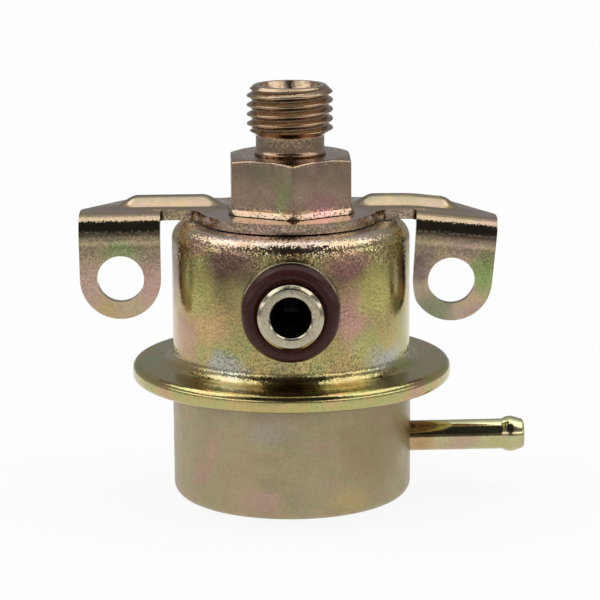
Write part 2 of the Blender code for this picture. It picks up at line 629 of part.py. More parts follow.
def hexagon(cutters):
    """The fitting's hexagon, chamfered above by a cone and bevelled at its foot."""
    corner = HEX_ACROSS_FLATS / 2 / math.cos(math.radians(30.0))
    height = HEX_TOP - HEX_BOTTOM
    bm = bmesh.new()
    bmesh.ops.create_cone(bm, cap_ends=True, segments=6, radius1=corner, radius2=corner, depth=height)
    low_edges = [e for e in bm.edges if all(v.co.z < 0 for v in e.verts)]
    bmesh.ops.bevel(bm, geom=low_edges, offset=HEX_FOOT_BEVEL, segments=1, profile=0.5, affect="EDGES",
                    material=-1, offset_type="OFFSET")
    bmesh.ops.rotate(bm, verts=bm.verts, cent=(0.0, 0.0, 0.0),
                     matrix=Matrix.Rotation(HEX_TURN, 3, "Z"))
    bmesh.ops.translate(bm, verts=bm.verts, vec=(0.0, 0.0, HEX_BOTTOM + height / 2))
    piece = link_mesh("hexagon_body", bm, cutters)
    reach = corner + SHEET
    drop = (reach - HEX_CHAMFER_RADIUS) * math.tan(HEX_CHAMFER)
    points = [(0.0, HEX_TOP), (HEX_CHAMFER_RADIUS, HEX_TOP), (reach, HEX_TOP - drop),
              (reach, HEX_BOTTOM - SHEET), (0.0, HEX_BOTTOM - SHEET)]
    envelope = turned("hexagon_envelope", points, cutters, FITTING_STEPS)
    cut(piece, hide_cutter(envelope), "chamfer", "INTERSECT")
    return hide_cutter(piece)


def outlet_fitting(group, cutters):
    swage_top = CAN_TOP - CAN_WALL - FIT_GAP
    cone_depth = (MOUTH_RADIUS - SOCKET_RADIUS) / math.tan(CONE_HALF_ANGLE)
    tube_hole = TUBE_RADIUS + FIT_GAP
    points = [
        (MOUTH_RADIUS, FITTING_TOP),
        (THREAD_RADIUS - THREAD_CHAMFER, FITTING_TOP),
        (THREAD_RADIUS, FITTING_TOP - THREAD_CHAMFER),
        (THREAD_RADIUS, THREAD_BOTTOM + THREAD_RUNOUT),
        (NECK_RADIUS, THREAD_BOTTOM),
        (NECK_RADIUS, HEX_TOP + NECK_STEP_HEIGHT),
        (NECK_STEP_RADIUS, HEX_TOP + NECK_STEP_HEIGHT - (NECK_STEP_RADIUS - NECK_RADIUS)),
        (NECK_STEP_RADIUS, HEX_TOP - NECK_STEP_HEIGHT),
        (SHANK_RADIUS, HEX_BOTTOM + NECK_STEP_HEIGHT),
        (SHANK_RADIUS, swage_top),
        (SWAGE_RADIUS, swage_top),
        (SWAGE_RADIUS, swage_top - SWAGE_HEIGHT / 2),
        (SHANK_RADIUS, SHANK_BOTTOM),
        (tube_hole, SHANK_BOTTOM),
        (tube_hole, TUBE_TOP + FIT_GAP),
        (OUTLET_BORE, TUBE_TOP + FIT_GAP),
        (OUTLET_BORE, FITTING_TOP - SOCKET_DEPTH),
        (SOCKET_RADIUS, FITTING_TOP - SOCKET_DEPTH),
        (SOCKET_RADIUS, FITTING_TOP - cone_depth),
    ]
    piece = turned("outlet_fitting", points, group, FITTING_STEPS)
    nut = hexagon(cutters)
    core = (SHANK_RADIUS + OUTLET_BORE) / 2
    bore = cylinder("hexagon_core_cutter", core, HEX_BOTTOM - SHEET, HEX_TOP + SHEET, cutters,
                    FITTING_STEPS)
    cut(nut, hide_cutter(bore), "core")
    cut(piece, nut, "hexagon", "UNION")
    return finish_piece(piece, GOLD_ZINC)


def return_tube(group):
    points = [(TUBE_BORE, TUBE_TOP), (TUBE_RADIUS, TUBE_TOP), (TUBE_RADIUS, SEAT_TUBE_FLOOR + FIT_GAP),
              (TUBE_BORE, SEAT_TUBE_FLOOR + FIT_GAP)]
    return finish_piece(turned("return_tube", points, group, SMALL_STEPS), TURNED_STEEL)


def valve_seat(group):
    chamfer = 0.5 * MM
    step = 0.4 * MM
    top = SEAT_LEVEL + SEAT_HEIGHT
    cup = TUBE_RADIUS + FIT_GAP
    points = [(cup, top), (SEAT_RADIUS, top), (SEAT_RADIUS, SEAT_LEVEL + step + chamfer),
              (SEAT_RADIUS - chamfer, SEAT_LEVEL + step), (SEAT_LIP_RADIUS, SEAT_LEVEL + step),
              (SEAT_LIP_RADIUS, SEAT_LEVEL), (SEAT_BORE, SEAT_LEVEL), (SEAT_BORE, SEAT_TUBE_FLOOR),
              (cup, SEAT_TUBE_FLOOR)]
    return finish_piece(turned("valve_seat", points, group, SMALL_STEPS), STAINLESS)


def spigot_place():
    return Matrix.Translation((0.0, 0.0, SPIGOT_HEIGHT)) @ ALONG_MINUS_Y


def nipple_place():
    return Matrix.Translation((0.0, 0.0, NIPPLE_HEIGHT)) @ ALONG_X


def inlet_spigot(group, cutters):
    """Turned spigot whose collar is saddled to the can."""
    small = SPIGOT_CHAMFER / 2
    seat_round = 0.3 * MM
    points = [
        (SPIGOT_BORE + small, SPIGOT_REACH),
        (SPIGOT_TIP_RADIUS - SPIGOT_CHAMFER, SPIGOT_REACH),
        (SPIGOT_TIP_RADIUS, SPIGOT_REACH - SPIGOT_CHAMFER),
        (SPIGOT_TIP_RADIUS, GROOVE_FRONT + seat_round),
        (SPIGOT_TIP_RADIUS - seat_round, GROOVE_FRONT),
        (GROOVE_RADIUS, GROOVE_FRONT),
        (GROOVE_RADIUS, GROOVE_BACK),
        (SPIGOT_SHANK_RADIUS, GROOVE_BACK),
        (SPIGOT_SHANK_RADIUS, SPIGOT_INNER_END + small),
        (SPIGOT_SHANK_RADIUS - small, SPIGOT_INNER_END),
        (SPIGOT_BORE, SPIGOT_INNER_END),
        (SPIGOT_BORE, SPIGOT_REACH - small),
    ]
    piece = turned("inlet_spigot", points, group, FITTING_STEPS, place=spigot_place())
    inner = (GROOVE_RADIUS + SPIGOT_BORE) / 2
    back = CAN_RADIUS - 2 * CAN_WALL
    ring = [(inner, GROOVE_BACK), (COLLAR_RADIUS - small, GROOVE_BACK),
            (COLLAR_RADIUS, GROOVE_BACK - small), (COLLAR_RADIUS, back), (inner, back)]
    collar = turned("spigot_collar", ring, cutters, FITTING_STEPS, place=spigot_place())
    can = cylinder("collar_saddle_cutter", CAN_RADIUS + REST_GAP, SPIGOT_HEIGHT - 2 * COLLAR_RADIUS,
                   SPIGOT_HEIGHT + 2 * COLLAR_RADIUS, cutters, CAN_STEPS)
    cut(collar, hide_cutter(can), "saddle")
    cut(piece, hide_cutter(collar), "collar", "UNION")
    return finish_piece(piece, GOLD_ZINC)


def inlet_o_ring(group):
    middle = (GROOVE_FRONT + GROOVE_BACK) / 2
    points = arc((RING_RADIUS, middle), RING_SECTION_RADIUS, 90, -270, 4 * EDGE_STEPS)[:-1]
    piece = turned("inlet_o_ring", points, group, FITTING_STEPS, place=spigot_place())
    return finish_piece(piece, RED_RUBBER)


def vacuum_nipple(group):
    small = 0.3 * MM
    crest = (NIPPLE_BULB_BACK + NIPPLE_BULB_CREST) / 2
    points = [
        (NIPPLE_BORE, NIPPLE_REACH),
        (NIPPLE_TIP_RADIUS - small, NIPPLE_REACH),
        (NIPPLE_TIP_RADIUS, NIPPLE_REACH - small),
        (NIPPLE_BULB_RADIUS - small / 2, NIPPLE_BULB_CREST + small),
        (NIPPLE_BULB_RADIUS, NIPPLE_BULB_CREST),
        (NIPPLE_BULB_RADIUS, crest),
        (NIPPLE_BULB_RADIUS - small / 2, crest - small),
        (NIPPLE_RADIUS, NIPPLE_BULB_BACK),
        (NIPPLE_RADIUS, NIPPLE_INNER_END),
        (NIPPLE_BORE, NIPPLE_INNER_END),
    ]
    piece = turned("vacuum_nipple", points, group, SMALL_STEPS, place=nipple_place())
    return finish_piece(piece, GOLD_ZINC)


def diaphragm(group):
    """Flat clamped rim, one convolution hanging into the cup, flat middle with a hole."""
    level = (DIAPHRAGM_BOTTOM + DIAPHRAGM_TOP) / 2
    span = CONVOLUTION_OUTER - CONVOLUTION_INNER
    points = [(CLAMP_RADIUS, level)]
    for i in range(WAVE_STEPS + 1):
        r = CONVOLUTION_OUTER - span * i / WAVE_STEPS
        dip = (1 - math.cos(2 * math.pi * i / WAVE_STEPS)) / 2
        points.append((r, level - CONVOLUTION_DEPTH * dip))
    points.append((CARRIER_RADIUS + FIT_GAP, level))
    piece = turned("diaphragm", points, group, FITTING_STEPS, closed=False)
    wall = piece.modifiers.new("cloth", "SOLIDIFY")
    wall.thickness = DIAPHRAGM_THICKNESS
    wall.offset = 0.0
    wall.use_even_offset = True
    return finish_piece(piece, BLACK_RUBBER)


def diaphragm_plate(group):
    edge = DIAPHRAGM_PLATE_THICKNESS / 2
    hole = CARRIER_RADIUS + FIT_GAP
    middle = DIAPHRAGM_PLATE_BOTTOM + edge
    points = [(hole, DIAPHRAGM_PLATE_TOP)]
    points += arc((DIAPHRAGM_PLATE_RADIUS - edge, middle), edge, 90, -90, 2 * EDGE_STEPS)
    points += [(hole, DIAPHRAGM_PLATE_BOTTOM)]
    return finish_piece(turned("diaphragm_plate", points, group, FITTING_STEPS), TURNED_STEEL)


def spring_plate(group):
    hole = CARRIER_RADIUS + FIT_GAP
    bend = SPRING_PLATE_BEND
    inner_bend = bend - SPRING_PLATE_THICKNESS
    rim = SPRING_PLATE_TOP - SPRING_PLATE_RIM
    inside = SPRING_PLATE_RADIUS - SPRING_PLATE_THICKNESS
    points = [(hole, SPRING_PLATE_TOP)]
    points += arc((SPRING_PLATE_RADIUS - bend, SPRING_PLATE_TOP - bend), bend, 90, 0)
    points += [(SPRING_PLATE_RADIUS, rim), (inside, rim)]
    points += arc((inside - inner_bend, SPRING_PLATE_BOTTOM - inner_bend), inner_bend, 0, 90,
                  EDGE_STEPS)
    points += [(hole, SPRING_PLATE_BOTTOM)]
    return finish_piece(turned("spring_plate", points, group, FITTING_STEPS), TURNED_STEEL)


def rivet_washer(group):
    hole = CARRIER_RADIUS + FIT_GAP
    points = [(hole, WASHER_TOP), (WASHER_RADIUS, WASHER_TOP), (WASHER_RADIUS, WASHER_BOTTOM),
              (hole, WASHER_BOTTOM)]
    return finish_piece(turned("rivet_washer", points, group, SMALL_STEPS), TURNED_STEEL)


def valve_carrier(group):
    """Holder of the ball, with its lower end spread into a rivet head."""
    flange_top = CARRIER_FLANGE_BOTTOM + CARRIER_FLANGE_THICKNESS
    points = [
        (POCKET_RADIUS, CARRIER_TOP),
        (CARRIER_RADIUS, CARRIER_TOP),
        (CARRIER_RADIUS, flange_top),
        (CARRIER_FLANGE_RADIUS, flange_top),
        (CARRIER_FLANGE_RADIUS, CARRIER_FLANGE_BOTTOM),
        (CARRIER_RADIUS, CARRIER_FLANGE_BOTTOM),
        (CARRIER_RADIUS, RIVET_TOP),
        (RIVET_RADIUS, RIVET_TOP),
        (RIVET_RADIUS - RIVET_TAPER / 4, RIVET_BOTTOM + RIVET_DOME),
        (RIVET_RADIUS - RIVET_TAPER, RIVET_BOTTOM + RIVET_DOME / 4),
        (RIVET_RADIUS - 2 * RIVET_TAPER, RIVET_BOTTOM),
        (0.0, RIVET_BOTTOM),
        (0.0, POCKET_BOTTOM),
        (POCKET_RADIUS, POCKET_BOTTOM),
    ]
    return finish_piece(turned("valve_carrier", points, group, SMALL_STEPS), TURNED_STEEL)


def valve_ball(group):
    bm = bmesh.new()
    bmesh.ops.create_uvsphere(bm, u_segments=SMALL_STEPS, v_segments=SMALL_STEPS // 2, radius=BALL_RADIUS)
    geometry = bm.verts[:] + bm.edges[:] + bm.faces[:]
    bmesh.ops.bisect_plane(bm, geom=geometry, dist=WELD / 10, plane_co=(0.0, 0.0, BALL_FLAT),
                           plane_no=(0.0, 0.0, 1.0), clear_outer=True)
    rim = [e for e in bm.edges if e.is_boundary]
    bmesh.ops.contextual_create(bm, geom=rim)
    bmesh.ops.recalc_face_normals(bm, faces=bm.faces)
    piece = link_mesh("valve_ball", bm, group)
    piece.location = (0.0, 0.0, BALL_CENTRE)
    return finish_piece(piece, STAINLESS)


def ball_retainer(group):
    top = RETAINER_BOTTOM + RETAINER_THICKNESS
    points = [(RETAINER_BORE, top), (CARRIER_RADIUS, top), (CARRIER_RADIUS, RETAINER_BOTTOM),
              (RETAINER_BORE, RETAINER_BOTTOM)]
    return finish_piece(turned("ball_retainer", points, group, SMALL_STEPS), BRASS)


def valve_plate(group):
    """Flat disc on the ball's flat; its origin is the ball's centre, about which it tilts."""
    edge = 0.2 * MM
    low = VALVE_PLATE_BOTTOM - BALL_CENTRE
    high = VALVE_PLATE_TOP - BALL_CENTRE
    points = [(0.0, high), (VALVE_PLATE_RADIUS - edge, high), (VALVE_PLATE_RADIUS, high - edge),
              (VALVE_PLATE_RADIUS, low + edge), (VALVE_PLATE_RADIUS - edge, low), (0.0, low)]
    place = Matrix.Translation((0.0, 0.0, BALL_CENTRE))
    return finish_piece(turned("valve_plate", points, group, SMALL_STEPS, place=place), STAINLESS)


def ball_spring(group):
    """A few turns between the pocket's floor and the underside of the ball."""
    low = POCKET_BOTTOM + FIT_GAP + BALL_SPRING_WIRE
    reach = BALL_RADIUS + BALL_SPRING_WIRE + FIT_GAP
    high = BALL_CENTRE - math.sqrt(reach ** 2 - BALL_SPRING_RADIUS ** 2)
    points = helix_points(BALL_SPRING_RADIUS, low, high, BALL_SPRING_TURNS, 0.0, 0.0)
    return finish_piece(coil("ball_spring", points, BALL_SPRING_WIRE, group), SPRING_STEEL)


def main_spring(group):
    points = helix_points(SPRING_RADIUS, SPRING_LOW, SPRING_HIGH, SPRING_LIVE_TURNS, SPRING_DEAD_TURNS,
                          SPRING_DEAD_PITCH)
    return finish_piece(coil("main_spring", points, SPRING_WIRE, group), SPRING_STEEL)


def spring_seat(group):
    """Pressed disc with a raised middle that centres the spring."""
    step = SEAT_BOSS_HEIGHT
    draft = 0.4 * MM
    inside = SEAT_BOSS_RADIUS - SEAT_DISC_THICKNESS
    points = [
        (0.0, SEAT_DISC_TOP + step),
        (SEAT_BOSS_RADIUS - draft, SEAT_DISC_TOP + step),
        (SEAT_BOSS_RADIUS, SEAT_DISC_TOP + step - draft),
        (SEAT_BOSS_RADIUS, SEAT_DISC_TOP),
        (SEAT_DISC_RADIUS, SEAT_DISC_TOP),
        (SEAT_DISC_RADIUS, SEAT_DISC_BOTTOM),
        (inside, SEAT_DISC_BOTTOM),
        (inside, SEAT_DISC_BOTTOM + step),
        (0.0, SEAT_DISC_BOTTOM + step),
    ]
    return finish_piece(turned("spring_seat", points, group, FITTING_STEPS), TURNED_STEEL)


def build():
    clear_scene()
    group = make_collection("fuel_pressure_regulator")
    cutters = make_collection("cutters", hidden=True)
    lower_housing(group, cutters)
    upper_housing(group, cutters)
    mounting_bracket(group)
    outlet_fitting(group, cutters)
    return_tube(group)
    valve_seat(group)
    inlet_spigot(group, cutters)
    inlet_o_ring(group)
    vacuum_nipple(group)
    diaphragm(group)
    diaphragm_plate(group)
    spring_plate(group)
    rivet_washer(group)
    valve_carrier(group)
    valve_ball(group)
    ball_spring(group)
    ball_retainer(group)
    valve_plate(group)
    main_spring(group)
    spring_seat(group)


build()
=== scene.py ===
"""Looks of a fuel pressure regulator in yellow chromated zinc plate.

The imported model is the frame. Each piece built here stands for one of its nodes and keeps
that node's place: the threaded fitting, the folded bracket, both cans, the inlet stub with
its sealing ring and the hose nipple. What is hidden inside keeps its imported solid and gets
a finish. Sizes are in metres, +Z is up, the inlet points along -Y and the nipple along +X.
"""

import math

import bmesh
import bpy
from bpy.props import FloatProperty, FloatVectorProperty, PointerProperty
from mathutils import Euler, Matrix, Vector


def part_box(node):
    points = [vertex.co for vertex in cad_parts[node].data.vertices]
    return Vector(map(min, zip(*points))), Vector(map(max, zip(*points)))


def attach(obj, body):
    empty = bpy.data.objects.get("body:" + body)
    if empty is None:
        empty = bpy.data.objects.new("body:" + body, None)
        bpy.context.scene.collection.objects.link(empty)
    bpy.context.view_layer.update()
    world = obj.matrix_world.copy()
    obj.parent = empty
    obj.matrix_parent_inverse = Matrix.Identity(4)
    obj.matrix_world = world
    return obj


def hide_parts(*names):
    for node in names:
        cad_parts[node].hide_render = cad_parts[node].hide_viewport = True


bl_info = {
    "name": "Fuel pressure regulator",
    "version": (1, 0, 0),
    "blender": (4, 5, 0),
    "location": "3D View > Sidebar > Regulator",
    "description": "Builds the plated pieces of a fuel pressure regulator round its packed frame",
    "category": "Object",
}

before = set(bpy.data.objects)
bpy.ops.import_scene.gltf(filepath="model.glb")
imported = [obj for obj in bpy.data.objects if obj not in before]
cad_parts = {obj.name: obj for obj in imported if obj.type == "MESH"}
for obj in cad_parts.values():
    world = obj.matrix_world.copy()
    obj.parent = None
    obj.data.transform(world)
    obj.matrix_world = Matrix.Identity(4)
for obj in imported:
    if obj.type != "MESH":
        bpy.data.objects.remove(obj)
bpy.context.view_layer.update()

MM = 0.001
WELD = 0.002 * MM             # points closer than this are one
OVERRUN = 1.0 * MM            # how far a cutting tool goes past what it cuts
PORT_DEPTH = 3.0 * MM         # how far a can's port is drilled past its wall
ROUND_STEPS = 240             # facets round the cans and the fitting
FINE_STEPS = 160              # facets round the inlet, its ring and the nipple
ARC_SEGMENTS = 8              # in each rounded corner of a profile
FULL_TURN = 2 * math.pi
GRAIN_SPAN = 70.0 * MM        # levels between which the plating's grain is set
GRAIN_SIZE = 0.2 * MM
WOBBLE = 4.0                  # how far a blotch's edge wanders, in mm
STREAK_SCALE = (1.0, 1.0, 0.05)
ALONG_X = Matrix.Rotation(math.radians(90.0), 4, "Y")
ALONG_MINUS_Y = Matrix.Rotation(math.radians(90.0), 4, "X")

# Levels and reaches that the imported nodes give
CAN_LOW, CAN_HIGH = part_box("upper_housing")
CUP_LOW, CUP_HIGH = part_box("lower_housing")
FITTING_LOW, FITTING_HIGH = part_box("outlet_fitting")
STUB_LOW, STUB_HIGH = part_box("inlet_spigot")
RING_LOW, RING_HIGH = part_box("inlet_o_ring")
NIPPLE_LOW, NIPPLE_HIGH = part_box("vacuum_nipple")

# Cans
CAN_RADIUS = 19.2 * MM
CUP_RADIUS = 19.35 * MM
CAN_WALL = 1.2 * MM
CAN_SHOULDER = 2.8 * MM
CAN_FOOT_FILLET = 2.0 * MM
CUP_CORNER = 1.9 * MM
CUP_NECK_FILLET = 1.2 * MM
CAN_TOP = CAN_HIGH.z
FLANGE_RADIUS = CAN_HIGH.x
FLANGE_BOTTOM = CAN_LOW.z
FLANGE_TOP = FLANGE_BOTTOM + 2.96 * MM
FLANGE_TOP_ROUND = 1.2 * MM
FLANGE_LOW_ROUND = 1.0 * MM
LIP_THICKNESS = 0.8 * MM
LIP_WIDTH = 2.4 * MM
CUP_FLANGE = 0.75 * MM
SHANK_HOLE = 7.2 * MM

# Fitting
HEX_ACROSS_FLATS = 19.0 * MM
HEX_BOTTOM = 46.9 * MM
HEX_TOP = 55.8 * MM
HEX_TURN = math.radians(2.4)
HEX_CHAMFER_RADIUS = 9.3 * MM
HEX_CHAMFER = math.radians(18.0)
HEX_FLARE = 0.56 * MM         # how far the foot spreads under each flat
HEX_FLARE_HEIGHT = 0.8 * MM
HEX_CORNER_REACH = 0.08 * MM  # how far the turned blank reaches past the corners
SHANK_RADIUS = 7.0 * MM
SWAGE_RADIUS = 8.2 * MM
SWAGE_TOP = CAN_TOP - CAN_WALL - 0.1 * MM
SWAGE_HEIGHT = 0.9 * MM
NECK_RADIUS = 5.5 * MM
NECK_STEP_RADIUS = 5.75 * MM
NECK_STEP_HEIGHT = 0.7 * MM
THREAD_BOTTOM = 59.0 * MM
THREAD_RADIUS = 6.9 * MM
THREAD_CHAMFER = 1.1 * MM
THREAD_RUNOUT = 0.85 * MM
THREAD_CREST = 65.95 * MM     # level of a crest on the +X side
MOUTH_RADIUS = 4.8 * MM
CONE_HALF_ANGLE = math.radians(12.0)
SOCKET_RADIUS = 4.05 * MM
SOCKET_DEPTH = 7.0 * MM
OUTLET_BORE = 3.1 * MM
TUBE_HOLE = 4.1 * MM
TUBE_HOLE_TOP = FITTING_LOW.z + 7.1 * MM

# Bracket
SHEET = 1.6 * MM
SHEET_MIDDLE = CAN_TOP + 1.0 * MM
SHEET_SHIFT = -0.35 * MM      # the sheet sits a little to the left of the cans' axis
DISC_RADIUS = 14.5 * MM
ARM_FRONT = -1.2 * MM
ARM_BACK = 10.3 * MM
ARM_FRONT_FILLET = 3.0 * MM
ARM_BACK_FILLET = 2.0 * MM
NOTCH_ROUND = 0.7 * MM        # the fold starts where this rounding ends
EAR_OFFSET = 27.0 * MM
EAR_WIDTH = 13.0 * MM
EAR_HOLE_RADIUS = 3.75 * MM
EAR_HOLE_DROP = 9.5 * MM      # from the sheet's middle down to the ear's hole
FOLD_LINE = ARM_FRONT - NOTCH_ROUND
FOLD_RADIUS = 3.5 * MM
ARM_END_INNER = 26.2 * MM
ARM_END_START = 1.0 * MM
ARM_END_ROUND = 2.0 * MM
ARM_HEEL_ROUND = 2.5 * MM
BEAD_LINE = 5.0 * MM
BEAD_HALF_WIDTH = 2.5 * MM
BEAD_INNER = 10.5 * MM
BEAD_OUTER = 27.8 * MM
BEAD_FLANK = 2.35 * MM
BEAD_END_FLANK = 3.3 * MM      # the slope is longer at the bead's ends
BEAD_HEIGHT = 1.58 * MM
BEAD_TAPER = {-1: 0.08, 1: 0.30}   # how much lower each bead is at its outer end
BEAD_RINGS = 10
DROOP_START = 20.1 * MM
DROOP_SPREAD = 1.5 * MM
DROOP_STEPS = 6
LEFT_DROOP = math.radians(0.6)
RIGHT_DROOP = math.radians(5.6)
FOLD_STEPS = 14
PRESS_LINE_DROP = 1.3 * MM    # the faint line that the folding tool left below each fold
PRESS_LINE_WIDTH = 0.35 * MM
PRESS_LINE_DEPTH = 0.012 * MM
OUTLINE_STEPS = 10            # in each quarter of the bracket's rounded corners

# Inlet stub and its ring, along their own axis
STUB_REACH = -STUB_LOW.y
STUB_INNER_END = -STUB_HIGH.y
STUB_HEIGHT = (STUB_LOW.z + STUB_HIGH.z) / 2
STUB_RADIUS = 5.14 * MM
STUB_BORE = 3.13 * MM
STUB_CHAMFER = 0.55 * MM
STUB_LIP = 1.4 * MM
STUB_SHANK = 5.0 * MM
GROOVE_RADIUS = 4.35 * MM
GROOVE_FRONT = STUB_REACH - STUB_LIP
GROOVE_BACK = GROOVE_FRONT - 3.6 * MM
COLLAR_RADIUS = 7.75 * MM
COLLAR_GAP = 0.2 * MM
PORT_RADIUS = 5.2 * MM
RING_SECTION = (RING_HIGH.y - RING_LOW.y) / 2
RING_RADIUS = RING_HIGH.x - RING_SECTION

# Nipple, along its own axis
NIPPLE_REACH = NIPPLE_HIGH.x
NIPPLE_INNER_END = NIPPLE_LOW.x
NIPPLE_HEIGHT = (NIPPLE_LOW.z + NIPPLE_HIGH.z) / 2
NIPPLE_RADIUS = 2.47 * MM
NIPPLE_TILT = math.radians(-0.9)
NIPPLE_BORE = 1.2 * MM
NIPPLE_PORT = 2.6 * MM
BULB_RADIUS = 3.08 * MM
BULB_LENGTH = 3.6 * MM
BULB_FRONT = 2.55 * MM
TIP_RADIUS = 2.3 * MM

# Camera, fitted to the photograph's outline
CAMERA_DISTANCE = 430.0 * MM
CAMERA_ELEVATION = math.radians(12.2)
CAMERA_ROLL = math.radians(0.35)
CAMERA_AIM = Vector((1.44, 0.0, 31.7)) * MM
CAMERA_SENSOR = 36.0
CAMERA_LENS = 158.93

# Studio: ramps are (position, grey)
FLOOR_RADIUS = 6.0
FLOOR_PAINT = (0.82, 0.82, 0.82, 1.0)
FLOOR_WHITE = (1.04, 1.04, 1.04, 1.0)
FLOOR_WHITE_SHARE = 0.86      # the rest is paint, which takes the object's shadow
FLOOR_IN_METAL = [            # how bright the metal sees the floor, by metres from the middle
    (0.0, 1.0), (0.18, 1.0), (0.21, 0.75), (0.24, 0.45), (0.28, 0.32), (0.45, 0.22)]
ARCH_LIGHT = [                # from the floor in front (0) over the top (0.5) to the back (1)
    (0.0, 0.16), (0.06, 0.10), (0.13, 0.03), (0.445, 0.03), (0.46, 1.7), (0.58, 1.5), (0.64, 0.7),
    (0.74, 0.45), (0.80, 0.32), (0.97, 0.28), (1.0, 0.5)]
SIDE_LIGHT = [(0.0, 0.40), (0.30, 0.30), (0.85, 0.30), (1.0, 1.2)]    # from level up to overhead
SIDE_EDGE = [(0.45, 0.0), (0.62, 1.0)]          # where the arch's light gives way to the sides'
PANEL_FADE = 3.0
PANELS = (                    # middle and half size in degrees, strength, fade at the sides
    ((-100.0, 54.0), (38.0, 17.0), 2.2, PANEL_FADE),
    ((92.0, 55.0), (34.0, 15.0), 2.1, PANEL_FADE),
    ((-58.0, 14.0), (38.0, 5.5), 2.4, 20.0),
    ((58.0, 14.0), (38.0, 5.5), 2.4, 20.0),
)


# Modelling helpers

def close_loop(bm, verts):
    """Join points one after another, and the last to the first."""
    for here, there in zip(verts, verts[1:] + verts[:1]):
        bm.edges.new((here, there))


def spin_round(bm, steps, **settings):
    """Spin all points and edges once round Z."""
    bmesh.ops.spin(bm, geom=bm.verts[:] + bm.edges[:], cent=(0.0, 0.0, 0.0), axis=(0.0, 0.0, 1.0),
                   angle=FULL_TURN, steps=steps, **settings)


def cut_all(bm, point, normal, **settings):
    """Cut a whole mesh by a plane."""
    bmesh.ops.bisect_plane(bm, geom=bm.verts[:] + bm.edges[:] + bm.faces[:], plane_co=point,
                           plane_no=normal, **settings)


def spin_profile(bm, corners, steps):
    """Turn a closed profile of (radius, level, rounding) corners round Z."""
    verts = [bm.verts.new((radius, 0.0, level)) for radius, level, _ in corners]
    close_loop(bm, verts)
    for vert, (_, _, rounding) in zip(verts, corners):
        if rounding:
            bmesh.ops.bevel(bm, geom=[vert], offset=rounding, offset_type="OFFSET",
                            segments=ARC_SEGMENTS, profile=0.5, affect="VERTICES", material=-1)
    spin_round(bm, steps, use_merge=True)
    bmesh.ops.remove_doubles(bm, verts=bm.verts, dist=WELD)
    bmesh.ops.recalc_face_normals(bm, faces=bm.faces)


def make_object(name, bm, place=None):
    """Link a mesh as an object at the origin, with its place in the mesh."""
    if place is not None:
        bmesh.ops.transform(bm, matrix=place, verts=bm.verts)
    mesh = bpy.data.meshes.new(name)
    bm.to_mesh(mesh)
    bm.free()
    made = bpy.data.objects.new(name, mesh)
    bpy.context.scene.collection.objects.link(made)
    return made


def turned(name, corners, steps=ROUND_STEPS, place=None):
    bm = bmesh.new()
    spin_profile(bm, corners, steps)
    return make_object(name, bm, place)


def rod(name, radius, low, high, steps, place=None):
    """A plain bar along Z between two levels, used to cut holes."""
    bm = bmesh.new()
    bmesh.ops.create_cone(bm, cap_ends=True, segments=steps, radius1=radius, radius2=radius,
                          depth=high - low)
    bmesh.ops.translate(bm, verts=bm.verts, vec=(0.0, 0.0, (high + low) / 2))
    return make_object(name, bm, place)


def combine(body, tool, operation):
    """Apply a Boolean to a piece and throw its tool away."""
    modifier = body.modifiers.new(operation.lower(), "BOOLEAN")
    modifier.operation = operation
    modifier.solver = "EXACT"
    modifier.object = tool
    settled = body.evaluated_get(bpy.context.evaluated_depsgraph_get())
    mesh = bpy.data.meshes.new_from_object(settled)
    body.modifiers.clear()
    body.data = mesh
    bpy.data.objects.remove(tool, do_unlink=True)
    if not mesh.polygons:
        raise RuntimeError(f"the {operation.lower()} left nothing of {body.name}")
    return body


def finish_piece(piece, node, material, sharp_angle=32.0):
    """Shade a piece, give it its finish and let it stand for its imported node."""
    piece.data.materials.clear()
    piece.data.materials.append(material)
    piece.data.shade_smooth()
    piece.data.set_sharp_from_angle(angle=math.radians(sharp_angle))
    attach(piece, "housing")
    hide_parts(node)
    return piece


# Material helpers

def add_node(tree, kind, settings=None, **inputs):
    """Add a node, with each named input set to a value or joined to another node's output."""
    made = tree.nodes.new(kind)
    for name, value in (settings or {}).items():
        setattr(made, name, value)
    for name, value in inputs.items():
        socket = made.inputs[name.replace("_", " ")]
        if isinstance(value, bpy.types.NodeSocket):
            tree.links.new(value, socket)
        else:
            socket.default_value = value
    return made


def mix_colour(tree, factor, below, above, blend="MIX"):
    """Lay one colour over another by a factor; the sockets are the factor and the two colours."""
    made = tree.nodes.new("ShaderNodeMix")
    made.data_type = "RGBA"
    made.blend_type = blend
    for index, value in ((0, factor), (6, below), (7, above)):
        if isinstance(value, bpy.types.NodeSocket):
            tree.links.new(value, made.inputs[index])
        else:
            made.inputs[index].default_value = value if index == 0 else (*value, 1.0)
    return made.outputs[2]


def ramp(tree, factor, stops):
    """A colour ramp of (position, colour) stops."""
    made = tree.nodes.new("ShaderNodeValToRGB")
    tree.links.new(factor, made.inputs[0])
    elements = made.color_ramp.elements
    while len(elements) < len(stops):
        elements.new(1.0)
    while len(elements) > len(stops):
        elements.remove(elements[-1])
    for element, (position, colour) in zip(elements, stops):
        element.position = position
        element.color = (*colour, 1.0)
    return made.outputs[0]


def grey_ramp(tree, factor, stops):
    return ramp(tree, factor, [(position, (value, value, value)) for position, value in stops])


def noise(tree, place, size, detail=2.0, roughness=0.5, distortion=0.0):
    """Noise whose blotches are about as wide as size, in metres."""
    made = add_node(tree, "ShaderNodeTexNoise", Vector=place, Scale=1.0 / size, Detail=detail,
                    Roughness=roughness, Distortion=distortion)
    return made.outputs[0]


def stretched(tree, place, scale):
    return add_node(tree, "ShaderNodeMapping", Vector=place, Scale=scale).outputs[0]


def sum_node(tree, kind, operation, values):
    """A node that works out an operation on values, each a number or another node's output."""
    made = add_node(tree, kind, {"operation": operation})
    for socket, value in zip(made.inputs, values):
        if isinstance(value, bpy.types.NodeSocket):
            tree.links.new(value, socket)
        else:
            socket.default_value = value
    return made


